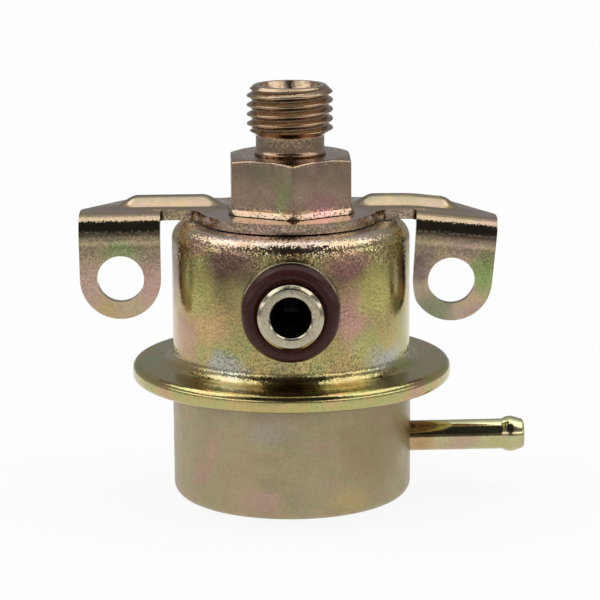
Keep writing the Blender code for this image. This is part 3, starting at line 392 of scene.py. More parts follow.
def math_node(tree, operation, *values):
    return sum_node(tree, "ShaderNodeMath", operation, values).outputs[0]


def vector_node(tree, operation, *values):
    return sum_node(tree, "ShaderNodeVectorMath", operation, values)


def spot(tree, place, centre, size):
    """1 in the middle of a soft blotch, falling to 0 at its edge; centre and size in mm."""
    away = vector_node(tree, "SUBTRACT", place, [value * MM for value in centre]).outputs[0]
    share = vector_node(tree, "DIVIDE", away, [value * MM for value in size]).outputs[0]
    fall = add_node(tree, "ShaderNodeMapRange", {"interpolation_type": "SMOOTHSTEP"},
                    Value=vector_node(tree, "LENGTH", share).outputs["Value"], From_Min=1.0,
                    From_Max=0.2, To_Min=0.0, To_Max=1.0)
    return fall.outputs[0]


def glittering(tree, place, size, tilts):
    """The surface's own direction, tilted at random in each grain.

    Tilts are (level in mm, most tilt), and each is doubled because a grain leans by half a unit.
    """
    grains = add_node(tree, "ShaderNodeTexVoronoi", Vector=place, Scale=1.0 / size, Randomness=1.0)
    lean = vector_node(tree, "SUBTRACT", grains.outputs["Color"], (0.5, 0.5, 0.5)).outputs[0]
    level = add_node(tree, "ShaderNodeSeparateXYZ", Vector=place).outputs["Z"]
    share = math_node(tree, "DIVIDE", level, GRAIN_SPAN)
    most = grey_ramp(tree, share, [(z * MM / GRAIN_SPAN, 2 * tilt) for z, tilt in tilts])
    lean = vector_node(tree, "MULTIPLY", lean, most).outputs[0]
    normal = add_node(tree, "ShaderNodeNewGeometry").outputs["Normal"]
    total = vector_node(tree, "ADD", normal, lean).outputs[0]
    return vector_node(tree, "NORMALIZE", total).outputs[0]


def new_material(name, metallic):
    """A material's tree and shader, with the piece's own coordinates."""
    material = bpy.data.materials.new(name)
    material.use_nodes = True
    tree = material.node_tree
    shader = tree.nodes["Principled BSDF"]
    shader.inputs["Metallic"].default_value = metallic
    place = add_node(tree, "ShaderNodeTexCoord").outputs["Object"]
    return material, tree, shader, place


def vary_roughness(tree, shader, place, size, low, high):
    """Let the roughness drift between two values over patches of a size."""
    rough = add_node(tree, "ShaderNodeMapRange", Value=noise(tree, place, size, 3.0),
                     From_Min=0.3, From_Max=0.7, To_Min=low, To_Max=high)
    tree.links.new(rough.outputs[0], shader.inputs["Roughness"])


def plate(name, tones, tints_and_painted_light, roughness, grain, glitter, tone_size=11.0, streaks=0.0):
    """Yellow chromated zinc: drifting tones, local tints, glittering grain and a soft gloss.

    Tones are a colour ramp; the local tints are (centre, half size, colour, strength) in mm, and
    some of them are painted shade, painted highlights and painted reflections.
    """
    material, tree, shader, place = new_material(name, 1.0)
    colour = ramp(tree, noise(tree, place, tone_size * MM, 3.0, 0.55, 0.6), tones)
    wobble = add_node(tree, "ShaderNodeTexNoise", Vector=place, Scale=1.0 / (WOBBLE * MM),
                      Detail=3.0)
    shifted = vector_node(tree, "MULTIPLY_ADD", wobble.outputs["Color"], (WOBBLE * MM,) * 3,
                          place).outputs[0]
    # local tints; some of them are painted shade, painted highlights and painted reflections
    for centre, size, tint, strength in tints_and_painted_light:
        mask = spot(tree, shifted, [c + WOBBLE / 2 for c in centre], size)
        colour = mix_colour(tree, math_node(tree, "MULTIPLY", mask, strength), colour, tint)
    speckle = noise(tree, place, 0.5 * MM, 4.0, 0.7)
    shade = grey_ramp(tree, speckle, [(0.3, 0.86), (0.5, 1.0), (0.72, 1.06)])
    colour = mix_colour(tree, 1.0, colour, shade, "MULTIPLY")
    if streaks:
        lines = noise(tree, stretched(tree, place, STREAK_SCALE), 0.35 * MM, 3.0, 0.6)
        lines = grey_ramp(tree, lines, [(0.35, 1.0 - streaks), (0.6, 1.0)])
        colour = mix_colour(tree, 1.0, colour, lines, "MULTIPLY")
    tree.links.new(colour, shader.inputs["Base Color"])
    vary_roughness(tree, shader, place, 3.0 * MM, roughness - 0.05, roughness + 0.07)
    pits = noise(tree, place, 0.45 * MM, 2.0, 0.5)
    bump = add_node(tree, "ShaderNodeBump", Height=pits, Strength=1.0, Distance=0.03 * MM * grain,
                    Normal=glittering(tree, place, GRAIN_SIZE, glitter))
    tree.links.new(bump.outputs[0], shader.inputs["Normal"])
    return material


def plain_metal(name, colour, roughness):
    """Bare turned or ground metal with faint tool marks."""
    material, tree, shader, place = new_material(name, 1.0)
    marks = noise(tree, stretched(tree, place, (0.08, 0.08, 1.0)), 0.12 * MM, 3.0, 0.6)
    tint = mix_colour(tree, grey_ramp(tree, marks, [(0.3, 0.0), (0.7, 1.0)]),
                      [value * 0.86 for value in colour], colour)
    tree.links.new(tint, shader.inputs["Base Color"])
    vary_roughness(tree, shader, place, 1.5 * MM, roughness - 0.05, roughness + 0.05)
    bump = add_node(tree, "ShaderNodeBump", Height=marks, Strength=1.0, Distance=0.003 * MM)
    tree.links.new(bump.outputs[0], shader.inputs["Normal"])
    return material


def rubber(name, colour, roughness):
    """Moulded rubber, a little dusty and very slightly uneven."""
    material, tree, shader, place = new_material(name, 0.0)
    shader.inputs["Specular IOR Level"].default_value = 0.22
    dust = grey_ramp(tree, noise(tree, place, 0.9 * MM, 4.0, 0.65), [(0.4, 0.0), (0.75, 1.0)])
    pale = [value * 1.5 + 0.003 for value in colour]
    tree.links.new(mix_colour(tree, dust, colour, pale), shader.inputs["Base Color"])
    vary_roughness(tree, shader, place, 1.2 * MM, roughness - 0.05, roughness + 0.08)
    bump = add_node(tree, "ShaderNodeBump", Height=noise(tree, place, 0.2 * MM, 3.0), Strength=1.0,
                    Distance=0.004 * MM)
    tree.links.new(bump.outputs[0], shader.inputs["Normal"])
    return material


# Settings a user would change

def length_setting(name, description, default, least):
    return FloatProperty(name=name, description=description, default=default, min=least,
                         unit="LENGTH")


def colour_setting(name, description, default):
    return FloatVectorProperty(name=name, description=description, subtype="COLOR", size=3,
                               min=0.0, max=1.0, default=default)


class RegulatorShape(bpy.types.PropertyGroup):
    thread_pitch: length_setting("Thread pitch", "Rise of the outlet thread in one turn",
                                 1.5 * MM, 0.5 * MM)
    thread_depth: length_setting("Thread depth", "From a crest down to the root",
                                 0.88 * MM, 0.1 * MM)
    hexagon_edge: length_setting("Hexagon edge", "Rounding of the hexagon's corners",
                                 0.17 * MM, 0.05 * MM)
    sheet_edge: length_setting("Sheet edge", "Rounding of the bracket's cut edges",
                               0.16 * MM, 0.05 * MM)


class RegulatorFinish(bpy.types.PropertyGroup):
    gold: colour_setting("Gold", "Main tone of the plating", (0.52, 0.40, 0.17))
    olive: colour_setting("Olive", "Darker green tone of the plating", (0.38, 0.33, 0.15))
    rose: colour_setting("Rose", "Pink tone of the plating", (0.50, 0.31, 0.24))
    leaf: colour_setting("Leaf", "Bright green tone of the plating", (0.42, 0.42, 0.17))
    ring: colour_setting("Sealing ring", "Colour of the inlet's rubber ring", (0.045, 0.011, 0.008))


# Stage

def make_camera():
    camera = bpy.data.cameras.new("product_camera")
    camera.sensor_width = CAMERA_SENSOR
    camera.lens = CAMERA_LENS
    camera.clip_start = 0.01
    camera.clip_end = 20.0
    view = bpy.data.objects.new("product_camera", camera)
    bpy.context.scene.collection.objects.link(view)
    back = Vector((0.0, -math.cos(CAMERA_ELEVATION), math.sin(CAMERA_ELEVATION)))
    view.location = CAMERA_AIM + back * CAMERA_DISTANCE
    turn = Euler((math.radians(90.0) - CAMERA_ELEVATION, 0.0, 0.0))
    turn.rotate_axis("Z", -CAMERA_ROLL)
    view.rotation_euler = turn
    bpy.context.scene.camera = view


def make_floor():
    """A wide pale table top that looks white and still takes the object's shadow."""
    bm = bmesh.new()
    bmesh.ops.create_circle(bm, cap_ends=True, segments=64, radius=FLOOR_RADIUS)
    floor = make_object("pale_floor", bm)
    material = bpy.data.materials.new("pale_floor_paint")
    material.use_nodes = True
    tree = material.node_tree
    tree.nodes.remove(tree.nodes["Principled BSDF"])
    path = add_node(tree, "ShaderNodeLightPath")
    seen = math_node(tree, "MAXIMUM", path.outputs["Is Camera Ray"], path.outputs["Is Glossy Ray"])
    seen = math_node(tree, "MAXIMUM", seen, path.outputs["Is Transmission Ray"])
    paint = add_node(tree, "ShaderNodeBsdfDiffuse", Color=FLOOR_PAINT)
    place = add_node(tree, "ShaderNodeTexCoord").outputs["Object"]
    reach = vector_node(tree, "LENGTH", place).outputs["Value"]
    dim = math_node(tree, "SUBTRACT", 1.0, grey_ramp(tree, reach, FLOOR_IN_METAL))
    dim = math_node(tree, "MULTIPLY", dim, path.outputs["Is Glossy Ray"])
    glow = add_node(tree, "ShaderNodeEmission", Color=FLOOR_WHITE,
                    Strength=math_node(tree, "SUBTRACT", 1.0, dim))
    blend = add_node(tree, "ShaderNodeMixShader",
                     Fac=math_node(tree, "MULTIPLY", seen, FLOOR_WHITE_SHARE))
    tree.links.new(paint.outputs[0], blend.inputs[1])
    tree.links.new(glow.outputs[0], blend.inputs[2])
    tree.links.new(blend.outputs[0], tree.nodes["Material Output"].inputs["Surface"])
    floor.data.materials.append(material)


def soft_box(tree, azimuth, elevation, centre, half, strength, side_fade):
    """A bright panel in the surroundings, given in degrees round the object and above it."""
    reach = []
    for angle, middle, width, fade in zip((azimuth, elevation), centre, half,
                                          (side_fade, PANEL_FADE)):
        away = math_node(tree, "ABSOLUTE", math_node(tree, "SUBTRACT", angle, middle))
        fall = add_node(tree, "ShaderNodeMapRange", {"interpolation_type": "SMOOTHSTEP"},
                        Value=away, From_Min=width + fade, From_Max=width - fade, To_Min=0.0,
                        To_Max=strength)
        reach.append(fall.outputs[0])
    return math_node(tree, "DIVIDE", math_node(tree, "MULTIPLY", *reach), strength)


def make_world():
    """A plain studio: soft panels at both sides and overhead, a dark camera side, a dim back."""
    world = bpy.data.worlds.new("studio")
    bpy.context.scene.world = world
    world.use_nodes = True
    tree = world.node_tree
    direction = add_node(tree, "ShaderNodeTexCoord").outputs["Generated"]
    parts = add_node(tree, "ShaderNodeSeparateXYZ", Vector=direction)
    ahead = math_node(tree, "MULTIPLY", parts.outputs["Y"], -1.0)
    arch, azimuth, elevation = (
        math_node(tree, "MULTIPLY", angle, math.degrees(1.0)) for angle in (
            math_node(tree, "ARCTAN2", parts.outputs["Z"], ahead),
            math_node(tree, "ARCTAN2", parts.outputs["X"], ahead),
            math_node(tree, "ARCSINE", parts.outputs["Z"])))
    middle = grey_ramp(tree, math_node(tree, "DIVIDE", arch, 180.0), ARCH_LIGHT)
    sides = grey_ramp(tree, math_node(tree, "DIVIDE", elevation, 90.0), SIDE_LIGHT)
    aside = math_node(tree, "ABSOLUTE", parts.outputs["X"])
    light = mix_colour(tree, grey_ramp(tree, aside, SIDE_EDGE), middle, sides)
    for panel in PANELS:
        light = mix_colour(tree, 1.0, light, soft_box(tree, azimuth, elevation, *panel), "LIGHTEN")
    background = tree.nodes["Background"]
    tree.links.new(light, background.inputs["Color"])
    background.inputs["Strength"].default_value = 1.0


class BuildStage(bpy.types.Operator):
    """Set the camera, the pale floor and the soft studio light"""
    bl_idname = "regulator.stage"
    bl_label = "Stage"

    def execute(self, context):
        make_camera()
        make_floor()
        make_world()
        context.scene.view_settings.view_transform = "Standard"
        return {"FINISHED"}


# Cans

class BuildCans(bpy.types.Operator):
    """Draw the upper can with its rolled flange and the lower can inside it"""
    bl_idname = "regulator.cans"
    bl_label = "Cans"

    def execute(self, context):
        finish = context.scene.regulator_finish
        gold, olive, rose, leaf = (
            tuple(tone) for tone in (finish.gold, finish.olive, finish.rose, finish.leaf))
        lip_top = FLANGE_BOTTOM + LIP_THICKNESS
        seam = FLANGE_RADIUS - LIP_THICKNESS
        roof = FLANGE_TOP - LIP_THICKNESS
        inner = CAN_RADIUS - CAN_WALL
        upper = turned("upper_can", [
            (SHANK_HOLE, CAN_TOP, 0.0),
            (CAN_RADIUS, CAN_TOP, CAN_SHOULDER),
            (CAN_RADIUS, FLANGE_TOP, CAN_FOOT_FILLET),
            (FLANGE_RADIUS, FLANGE_TOP, FLANGE_TOP_ROUND),
            (FLANGE_RADIUS, FLANGE_BOTTOM, FLANGE_LOW_ROUND),
            (FLANGE_RADIUS - LIP_WIDTH, FLANGE_BOTTOM, 0.2 * MM),
            (FLANGE_RADIUS - LIP_WIDTH, lip_top, 0.0),
            (seam, lip_top, 0.0),
            (seam, roof, 0.2 * MM),
            (inner, roof, CAN_FOOT_FILLET + CAN_WALL),
            (inner, CAN_TOP - CAN_WALL, CAN_SHOULDER - CAN_WALL),
            (SHANK_HOLE, CAN_TOP - CAN_WALL, 0.0),
        ])
        stub_place = Matrix.Translation((0.0, 0.0, STUB_HEIGHT)) @ ALONG_MINUS_Y
        port = rod("inlet_port", PORT_RADIUS, inner - PORT_DEPTH, CAN_RADIUS + OVERRUN, FINE_STEPS,
                   stub_place)
        combine(upper, port, "DIFFERENCE")
        upper_plate = plate("upper_can_plate", [
            (0.30, olive), (0.42, gold), (0.52, leaf), (0.60, gold), (0.72, rose)],
            tints_and_painted_light=[
                # pale rose over the front of the shoulder and the top, so that the highlight there
                # reads white: painted highlight
                ((0.0, -14.0, 46.5), (30.0, 14.0, 4.5), (0.80, 0.60, 0.58), 0.9),
                # dark patches at the front just below the shoulder, left and right: painted dark
                # reflection
                ((-9.5, -16.5, 41.0), (9.0, 6.0, 4.5), (0.20, 0.11, 0.10), 0.9),
                ((9.0, -17.0, 40.5), (7.0, 6.0, 4.0), (0.38, 0.19, 0.18), 0.9),
                ((9.5, -16.8, 32.5), (4.5, 6.0, 7.0), (0.74, 0.42, 0.34), 0.9),
                ((-12.5, -15.0, 31.0), (6.0, 8.0, 5.0), (0.74, 0.48, 0.24), 0.8),
                ((-15.0, -12.0, 36.0), (5.0, 8.0, 6.0), (0.62, 0.58, 0.20), 0.9),
                ((13.5, -14.0, 36.0), (5.0, 7.0, 6.0), (0.74, 0.66, 0.22), 0.9),
                ((12.5, -15.0, 27.5), (5.0, 6.0, 4.0), (0.50, 0.49, 0.18), 0.7),
                ((-10.5, -16.0, 24.5), (5.0, 6.0, 3.0), (0.44, 0.44, 0.40), 0.8),
                ((15.0, -12.0, 24.5), (5.0, 7.0, 3.5), (0.44, 0.46, 0.42), 0.8),
                # dark brown streak on the can's left side: painted reflection of the ear's dark
                # back
                ((-19.6, -3.0, 37.5), (3.0, 5.0, 12.0), (0.20, 0.12, 0.06), 0.95)],
            roughness=0.16, grain=0.5, streaks=0.05,
            glitter=((0.0, 0.015), (21.5, 0.015), (22.8, 0.09), (25.5, 0.06), (28.0, 0.018),
                     (39.0, 0.022), (42.5, 0.15), (46.0, 0.12)))
        finish_piece(upper, "upper_housing", upper_plate)

        cup_inner = CUP_RADIUS - CAN_WALL
        clamp = CUP_HIGH.x
        ledge = CUP_HIGH.z - CUP_FLANGE
        lower = turned("lower_can", [
            (clamp, CUP_HIGH.z, 0.0),
            (clamp, ledge, 0.2 * MM),
            (CUP_RADIUS, ledge, CUP_NECK_FILLET),
            (CUP_RADIUS, CUP_LOW.z, CUP_CORNER),
            (0.0, CUP_LOW.z, 0.0),
            (0.0, CUP_LOW.z + CAN_WALL, 0.0),
            (cup_inner, CUP_LOW.z + CAN_WALL, CUP_CORNER - CAN_WALL),
            (cup_inner, CUP_HIGH.z, CUP_NECK_FILLET + CUP_FLANGE),
        ])
        nipple_place = Matrix.Translation((0.0, 0.0, NIPPLE_HEIGHT)) @ ALONG_X
        port = rod("nipple_port", NIPPLE_PORT, cup_inner - PORT_DEPTH, CUP_RADIUS + OVERRUN,
                   FINE_STEPS, nipple_place)
        combine(lower, port, "DIFFERENCE")
        lower_plate = plate("lower_can_plate", [
            (0.32, (0.35, 0.28, 0.17)), (0.46, (0.39, 0.31, 0.18)), (0.56, (0.35, 0.31, 0.18)),
            (0.68, (0.41, 0.29, 0.20))],
            tints_and_painted_light=[
                ((-5.0, -19.0, 3.0), (5.0, 5.0, 3.0), (0.50, 0.30, 0.27), 0.5),
                ((-3.5, -19.0, 14.5), (6.0, 5.0, 3.0), (0.34, 0.32, 0.27), 0.5),
                # dark band round the top of the lower can: painted shadow under the flange
                ((0.0, 0.0, 20.5), (60.0, 60.0, 6.0), (0.24, 0.19, 0.13), 0.9),
                # darker brown over the right front: painted shade on that side
                ((13.0, -14.0, 12.0), (12.0, 12.0, 12.0), (0.29, 0.22, 0.12), 0.75),
                ((9.0, -17.0, 3.0), (6.0, 5.0, 4.0), (0.46, 0.34, 0.14), 0.5)],
            roughness=0.40, grain=0.6, tone_size=9.0, glitter=((0.0, 0.05),))
        finish_piece(lower, "lower_housing", lower_plate)
        return {"FINISHED"}


# Fitting

def thread_die(shape):
    """A solid whose upper part is the thread's outside and whose lower part clears all below."""
    pitch = shape.thread_pitch
    root = THREAD_RADIUS - shape.thread_depth
    crest = [(0.04, 0.0), (0.10, 0.055 * MM), (0.14, 0.13 * MM)]
    section = [(-share, THREAD_RADIUS - drop) for share, drop in crest[::-1]]
    section += [(share, THREAD_RADIUS - drop) for share, drop in crest]
    section += [(0.435, root), (0.565, root)]
    top = FITTING_HIGH.z + OVERRUN
    clear = 20 * MM
    bm = bmesh.new()
    turns = math.ceil((top - THREAD_BOTTOM) / pitch) + 2
    column = [bm.verts.new((radius, 0.0, THREAD_CREST + (turn + share) * pitch))
              for turn in range(-turns, 2) for share, radius in section]
    for here, there in zip(column, column[1:]):
        bm.edges.new((here, there))
    spin_round(bm, ROUND_STEPS, dvec=(0.0, 0.0, pitch / ROUND_STEPS))
    bmesh.ops.remove_doubles(bm, verts=bm.verts, dist=WELD)
    for level, up in ((top, 1.0), (THREAD_BOTTOM, -1.0)):
        cut_all(bm, (0.0, 0.0, level), (0.0, 0.0, up), dist=WELD / 10, clear_outer=True)
    foot = [e for e in bm.edges if e.is_boundary and e.verts[0].co.z < THREAD_BOTTOM + 0.1 * MM]
    spread = bmesh.ops.extrude_edge_only(bm, edges=foot)["geom"]
    for vert in [part for part in spread if isinstance(part, bmesh.types.BMVert)]:
        flat = Vector((vert.co.x, vert.co.y, 0.0)).normalized() * clear
        vert.co = (flat.x, flat.y, THREAD_BOTTOM)
    rim = [part for part in spread if isinstance(part, bmesh.types.BMEdge)]
    drop = bmesh.ops.extrude_edge_only(bm, edges=rim)["geom"]
    bmesh.ops.translate(bm, vec=(0.0, 0.0, FITTING_LOW.z - THREAD_BOTTOM - OVERRUN),
                        verts=[part for part in drop if isinstance(part, bmesh.types.BMVert)])
    bmesh.ops.holes_fill(bm, edges=[e for e in bm.edges if e.is_boundary], sides=0)
    bmesh.ops.recalc_face_normals(bm, faces=bm.faces)
    return make_object("thread_die", bm)


def hexagon(shape):
    """The hexagon with its flared foot, its chamfered crown and its rounded edges."""
    corner = HEX_ACROSS_FLATS / 2 / math.cos(math.radians(30.0))
    height = HEX_TOP - HEX_BOTTOM
    bm = bmesh.new()
    bmesh.ops.create_cone(bm, cap_ends=True, segments=6, radius1=corner, radius2=corner,
                          depth=height)
    cut_all(bm, (0.0, 0.0, HEX_FLARE_HEIGHT - height / 2), (0.0, 0.0, 1.0), dist=WELD)
    spread = 1 + HEX_FLARE / (HEX_ACROSS_FLATS / 2)
    bmesh.ops.scale(bm, vec=(spread, spread, 1.0),
                    verts=[v for v in bm.verts if v.co.z < WELD - height / 2])
    bmesh.ops.rotate(bm, verts=bm.verts, cent=(0.0, 0.0, 0.0),
                     matrix=Matrix.Rotation(HEX_TURN, 3, "Z"))
    bmesh.ops.translate(bm, verts=bm.verts, vec=(0.0, 0.0, HEX_BOTTOM + height / 2))
    bmesh.ops.recalc_face_normals(bm, faces=bm.faces)
    body = make_object("hexagon", bm)
    reach = corner + HEX_CORNER_REACH
    drop = (reach - HEX_CHAMFER_RADIUS) * math.tan(HEX_CHAMFER)
    envelope = turned("hexagon_envelope", [
        (0.0, HEX_TOP, 0.0),
        (HEX_CHAMFER_RADIUS, HEX_TOP, 0.25 * MM),
        (reach, HEX_TOP - drop, 0.0),
        (reach, HEX_BOTTOM - OVERRUN, 0.0),
        (0.0, HEX_BOTTOM - OVERRUN, 0.0),
    ])
    combine(body, envelope, "INTERSECT")
    bm = bmesh.new()
    bm.from_mesh(body.data)
    bmesh.ops.remove_doubles(bm, verts=bm.verts, dist=WELD)
    foot = HEX_BOTTOM + HEX_FLARE_HEIGHT - WELD
    sharp = [e for e in bm.edges if e.is_manifold and e.calc_face_angle() > math.radians(40.0)
             and min(v.co.z for v in e.verts) > foot
             and max(v.co.z for v in e.verts) > foot + 2 * WELD]
    bmesh.ops.bevel(bm, geom=sharp, offset=shape.hexagon_edge, offset_type="OFFSET", segments=4,
                    profile=0.5, affect="EDGES", material=-1, clamp_overlap=False)
    bmesh.ops.recalc_face_normals(bm, faces=bm.faces)
    bm.to_mesh(body.data)
    bm.free()
    return body


class BuildFitting(bpy.types.Operator):
    """Turn the outlet fitting, cut its thread, add its hexagon and drill it"""
    bl_idname = "regulator.fitting"
    bl_label = "Threaded fitting"

    def execute(self, context):
        shape = context.scene.regulator_shape
        top = FITTING_HIGH.z
        bottom = FITTING_LOW.z
        step_top = HEX_TOP + NECK_STEP_HEIGHT
        blank = turned("threaded_fitting", [
            (0.0, top, 0.0),
            (THREAD_RADIUS - THREAD_CHAMFER, top, 0.08 * MM),
            (THREAD_RADIUS, top - THREAD_CHAMFER, 0.08 * MM),
            (THREAD_RADIUS, THREAD_BOTTOM + THREAD_RUNOUT, 0.08 * MM),
            (NECK_RADIUS, THREAD_BOTTOM, 0.2 * MM),
            (NECK_RADIUS, step_top, 0.15 * MM),
            (NECK_STEP_RADIUS, step_top - 0.25 * MM, 0.08 * MM),
            (NECK_STEP_RADIUS, HEX_TOP - MM, 0.0),
            (SHANK_RADIUS, HEX_BOTTOM + MM, 0.0),
            (SHANK_RADIUS, SWAGE_TOP, 0.0),
            (SWAGE_RADIUS, SWAGE_TOP, 0.15 * MM),
            (SWAGE_RADIUS, SWAGE_TOP - SWAGE_HEIGHT / 2, 0.1 * MM),
            (SHANK_RADIUS, bottom, 0.1 * MM),
            (0.0, bottom, 0.0),
        ])
        combine(blank, thread_die(shape), "INTERSECT")
        combine(blank, hexagon(shape), "UNION")
        cone_depth = (MOUTH_RADIUS - SOCKET_RADIUS) / math.tan(CONE_HALF_ANGLE)
        drill = turned("fitting_drill", [
            (0.0, top + OVERRUN, 0.0),
            (MOUTH_RADIUS + OVERRUN * math.tan(CONE_HALF_ANGLE), top + OVERRUN, 0.0),
            (SOCKET_RADIUS, top - cone_depth, 0.05 * MM),
            (SOCKET_RADIUS, top - SOCKET_DEPTH, 0.0),
            (OUTLET_BORE, top - SOCKET_DEPTH, 0.1 * MM),
            (OUTLET_BORE, TUBE_HOLE_TOP, 0.0),
            (TUBE_HOLE, TUBE_HOLE_TOP, 0.0),
            (TUBE_HOLE, bottom - OVERRUN, 0.0),
            (0.0, bottom - OVERRUN, 0.0),
        ])
        combine(blank, drill, "DIFFERENCE")
        material = plate("fitting_plate", [
            (0.32, (0.36, 0.27, 0.18)), (0.46, (0.41, 0.28, 0.18)), (0.56, (0.37, 0.29, 0.20)),
            (0.70, (0.43, 0.26, 0.21))],
            tints_and_painted_light=[
                ((0.0, 0.0, 51.4), (22.0, 22.0, 6.5), (0.72, 0.50, 0.36), 0.95),
                ((-4.5, -9.0, 53.5), (3.5, 4.0, 3.0), (0.44, 0.42, 0.24), 0.7),
                ((-1.2, -9.5, 51.0), (1.8, 2.5, 6.0), (0.48, 0.60, 0.26), 0.7),
                ((6.0, -9.0, 48.5), (5.0, 4.0, 3.0), (0.70, 0.34, 0.36), 0.7)],
            roughness=0.13, grain=0.3, tone_size=7.0,
            glitter=((46.0, 0.12), (47.8, 0.10), (48.4, 0.02), (54.6, 0.02), (55.2, 0.08),
                     (60.0, 0.05)))
        finish_piece(blank, "outlet_fitting", material, 33.0)
        return {"FINISHED"}


# Bracket

def arc_points(centre, radius, start, end, steps):
    """Points on an arc in the sheet's plane, with angles in degrees."""
    points = []
    for i in range(steps + 1):
        angle = math.radians(start + (end - start) * i / steps)
        points.append((centre[0] + radius * math.cos(angle), centre[1] + radius * math.sin(angle)))
    return points


def arm_fillet(edge, radius):
    """Fillet between the round middle and an arm's edge, from the disc out to the arm."""
    front = edge < 0
    level = edge - radius if front else edge + radius
    x = math.sqrt((DISC_RADIUS + radius) ** 2 - level ** 2)
    touch = math.degrees(math.atan2(-level, -x))
    return arc_points((x, level), radius, touch, 90.0 if front else -90.0, OUTLINE_STEPS)


def rounded_corner(before, corner, after, radius):
    """Points of the arc that rounds an outline's corner."""
    to_before = (Vector(before) - Vector(corner)).normalized()
    to_after = (Vector(after) - Vector(corner)).normalized()
    half = to_before.angle(to_after) / 2
    centre = Vector(corner) + (to_before + to_after).normalized() * radius / math.sin(half)
    start = Vector(corner) + to_before * radius / math.tan(half) - centre
    end = Vector(corner) + to_after * radius / math.tan(half) - centre
    return [tuple(centre + start.slerp(end, i / OUTLINE_STEPS) * radius)
            for i in range(OUTLINE_STEPS + 1)]


def ear_flat_centre():
    """Where the ear's hole lies on the flat sheet, before the ear is folded down."""
    neutral = FOLD_RADIUS - SHEET / 2
    return FOLD_LINE - neutral * math.pi / 2 - (EAR_HOLE_DROP - neutral)


def half_outline():
    """The flat sheet's edge on the +X side, from the front of the disc round to its back."""
    inner = EAR_OFFSET - EAR_WIDTH / 2
    outer = EAR_OFFSET + EAR_WIDTH / 2
    centre = ear_flat_centre()
    front = arm_fillet(ARM_FRONT, ARM_FRONT_FILLET)
    back = arm_fillet(ARM_BACK, ARM_BACK_FILLET)
    first = math.degrees(math.atan2(front[0][1], front[0][0]))
    last = math.degrees(math.atan2(back[0][1], back[0][0]))
    shoulder = (outer, ARM_END_START)
    heel = (ARM_END_INNER, ARM_BACK)
    points = arc_points((0.0, 0.0), DISC_RADIUS, -90.0, first, 40)[:-1]
    points += front
    points += rounded_corner((0.0, ARM_FRONT), (inner, ARM_FRONT), (inner, centre), NOTCH_ROUND)
    points += arc_points((EAR_OFFSET, centre), EAR_WIDTH / 2, 180.0, 360.0, 64)
    points += rounded_corner((outer, centre), shoulder, heel, ARM_END_ROUND)
    points += rounded_corner(shoulder, heel, (0.0, ARM_BACK), ARM_HEEL_ROUND)
    points += back[::-1]
    points += arc_points((0.0, 0.0), DISC_RADIUS, last, 90.0, 24)[1:]
    return points


def bead_outline(bm, side):
    """Draw the foot of one arm's stiffening bead on the flat sheet."""
    half_length = (BEAD_OUTER - BEAD_INNER) / 2 - BEAD_HALF_WIDTH
    middle = side * (BEAD_OUTER + BEAD_INNER) / 2
    points = arc_points((middle + half_length, BEAD_LINE), BEAD_HALF_WIDTH, -90.0, 90.0, 20)
    points += arc_points((middle - half_length, BEAD_LINE), BEAD_HALF_WIDTH, 90.0, 270.0, 20)
    loop = [bm.verts.new((x, y, 0.0)) for x, y in points]
    close_loop(bm, loop)
    return loop


def press_up(bm, loop, side):
    """Press one arm's bead up in rings of rounded section, lower towards its outer end."""
    face = bm.faces.new(loop)
    face.normal_update()
    if face.normal.z < 0:
        face.normal_flip()
    middle = side * (BEAD_OUTER + BEAD_INNER) / 2
    length = BEAD_OUTER - BEAD_INNER
    pressed = set()
    for i in range(BEAD_RINGS):
        low, high = (((1 - math.cos(math.pi * share)) / 2 + share) / 2
                     for share in (i / BEAD_RINGS, (i + 1) / BEAD_RINGS))
        bmesh.ops.inset_region(bm, faces=[face], thickness=BEAD_FLANK / BEAD_RINGS,
                               depth=BEAD_HEIGHT * (high - low), use_even_offset=False)
        pressed.update(face.verts)
        for vert in face.verts:
            vert.co.x -= math.copysign((BEAD_END_FLANK - BEAD_FLANK) / BEAD_RINGS,
                                       vert.co.x - middle)
    for vert in pressed:
        outward = (abs(vert.co.x) - BEAD_INNER) / length
        vert.co.z *= 1 - BEAD_TAPER[side] * outward


def cut_across(bm, faces, point, normal):
    """Lay a line of edges across some faces, where the sheet will bend."""
    edges = dict.fromkeys(e for f in faces for e in f.edges)
    verts = dict.fromkeys(v for f in faces for v in f.verts)
    bmesh.ops.bisect_plane(bm, geom=faces + list(edges) + list(verts), dist=WELD / 10,
                           plane_co=point, plane_no=normal)


def fold_down(bm):
    """Roll the front tongues of the flat sheet down round the fold."""
    neutral = FOLD_RADIUS - SHEET / 2
    bend = neutral * math.pi / 2
    inner_side = EAR_OFFSET - EAR_WIDTH / 2 - WELD
    for i in range(FOLD_STEPS + 1):
        ears = [f for f in bm.faces if all(abs(v.co.x) > inner_side for v in f.verts)]
        cut_across(bm, ears, (0.0, FOLD_LINE - bend * i / FOLD_STEPS, 0.0), (0.0, 1.0, 0.0))
    press_line = bend + PRESS_LINE_DROP
    for away in (-PRESS_LINE_WIDTH, 0.0, PRESS_LINE_WIDTH):
        ears = [f for f in bm.faces if all(abs(v.co.x) > inner_side for v in f.verts)]
        cut_across(bm, ears, (0.0, FOLD_LINE - press_line - away, 0.0), (0.0, 1.0, 0.0))
    for vert in bm.verts:
        run = FOLD_LINE - vert.co.y
        if abs(vert.co.x) < inner_side or run <= 0:
            continue
        angle = min(run, bend) / neutral
        vert.co.y = FOLD_LINE - neutral * math.sin(angle)
        if abs(run - press_line) < WELD:
            vert.co.y += PRESS_LINE_DEPTH
        vert.co.z -= neutral * (1 - math.cos(angle)) + max(run - bend, 0.0)


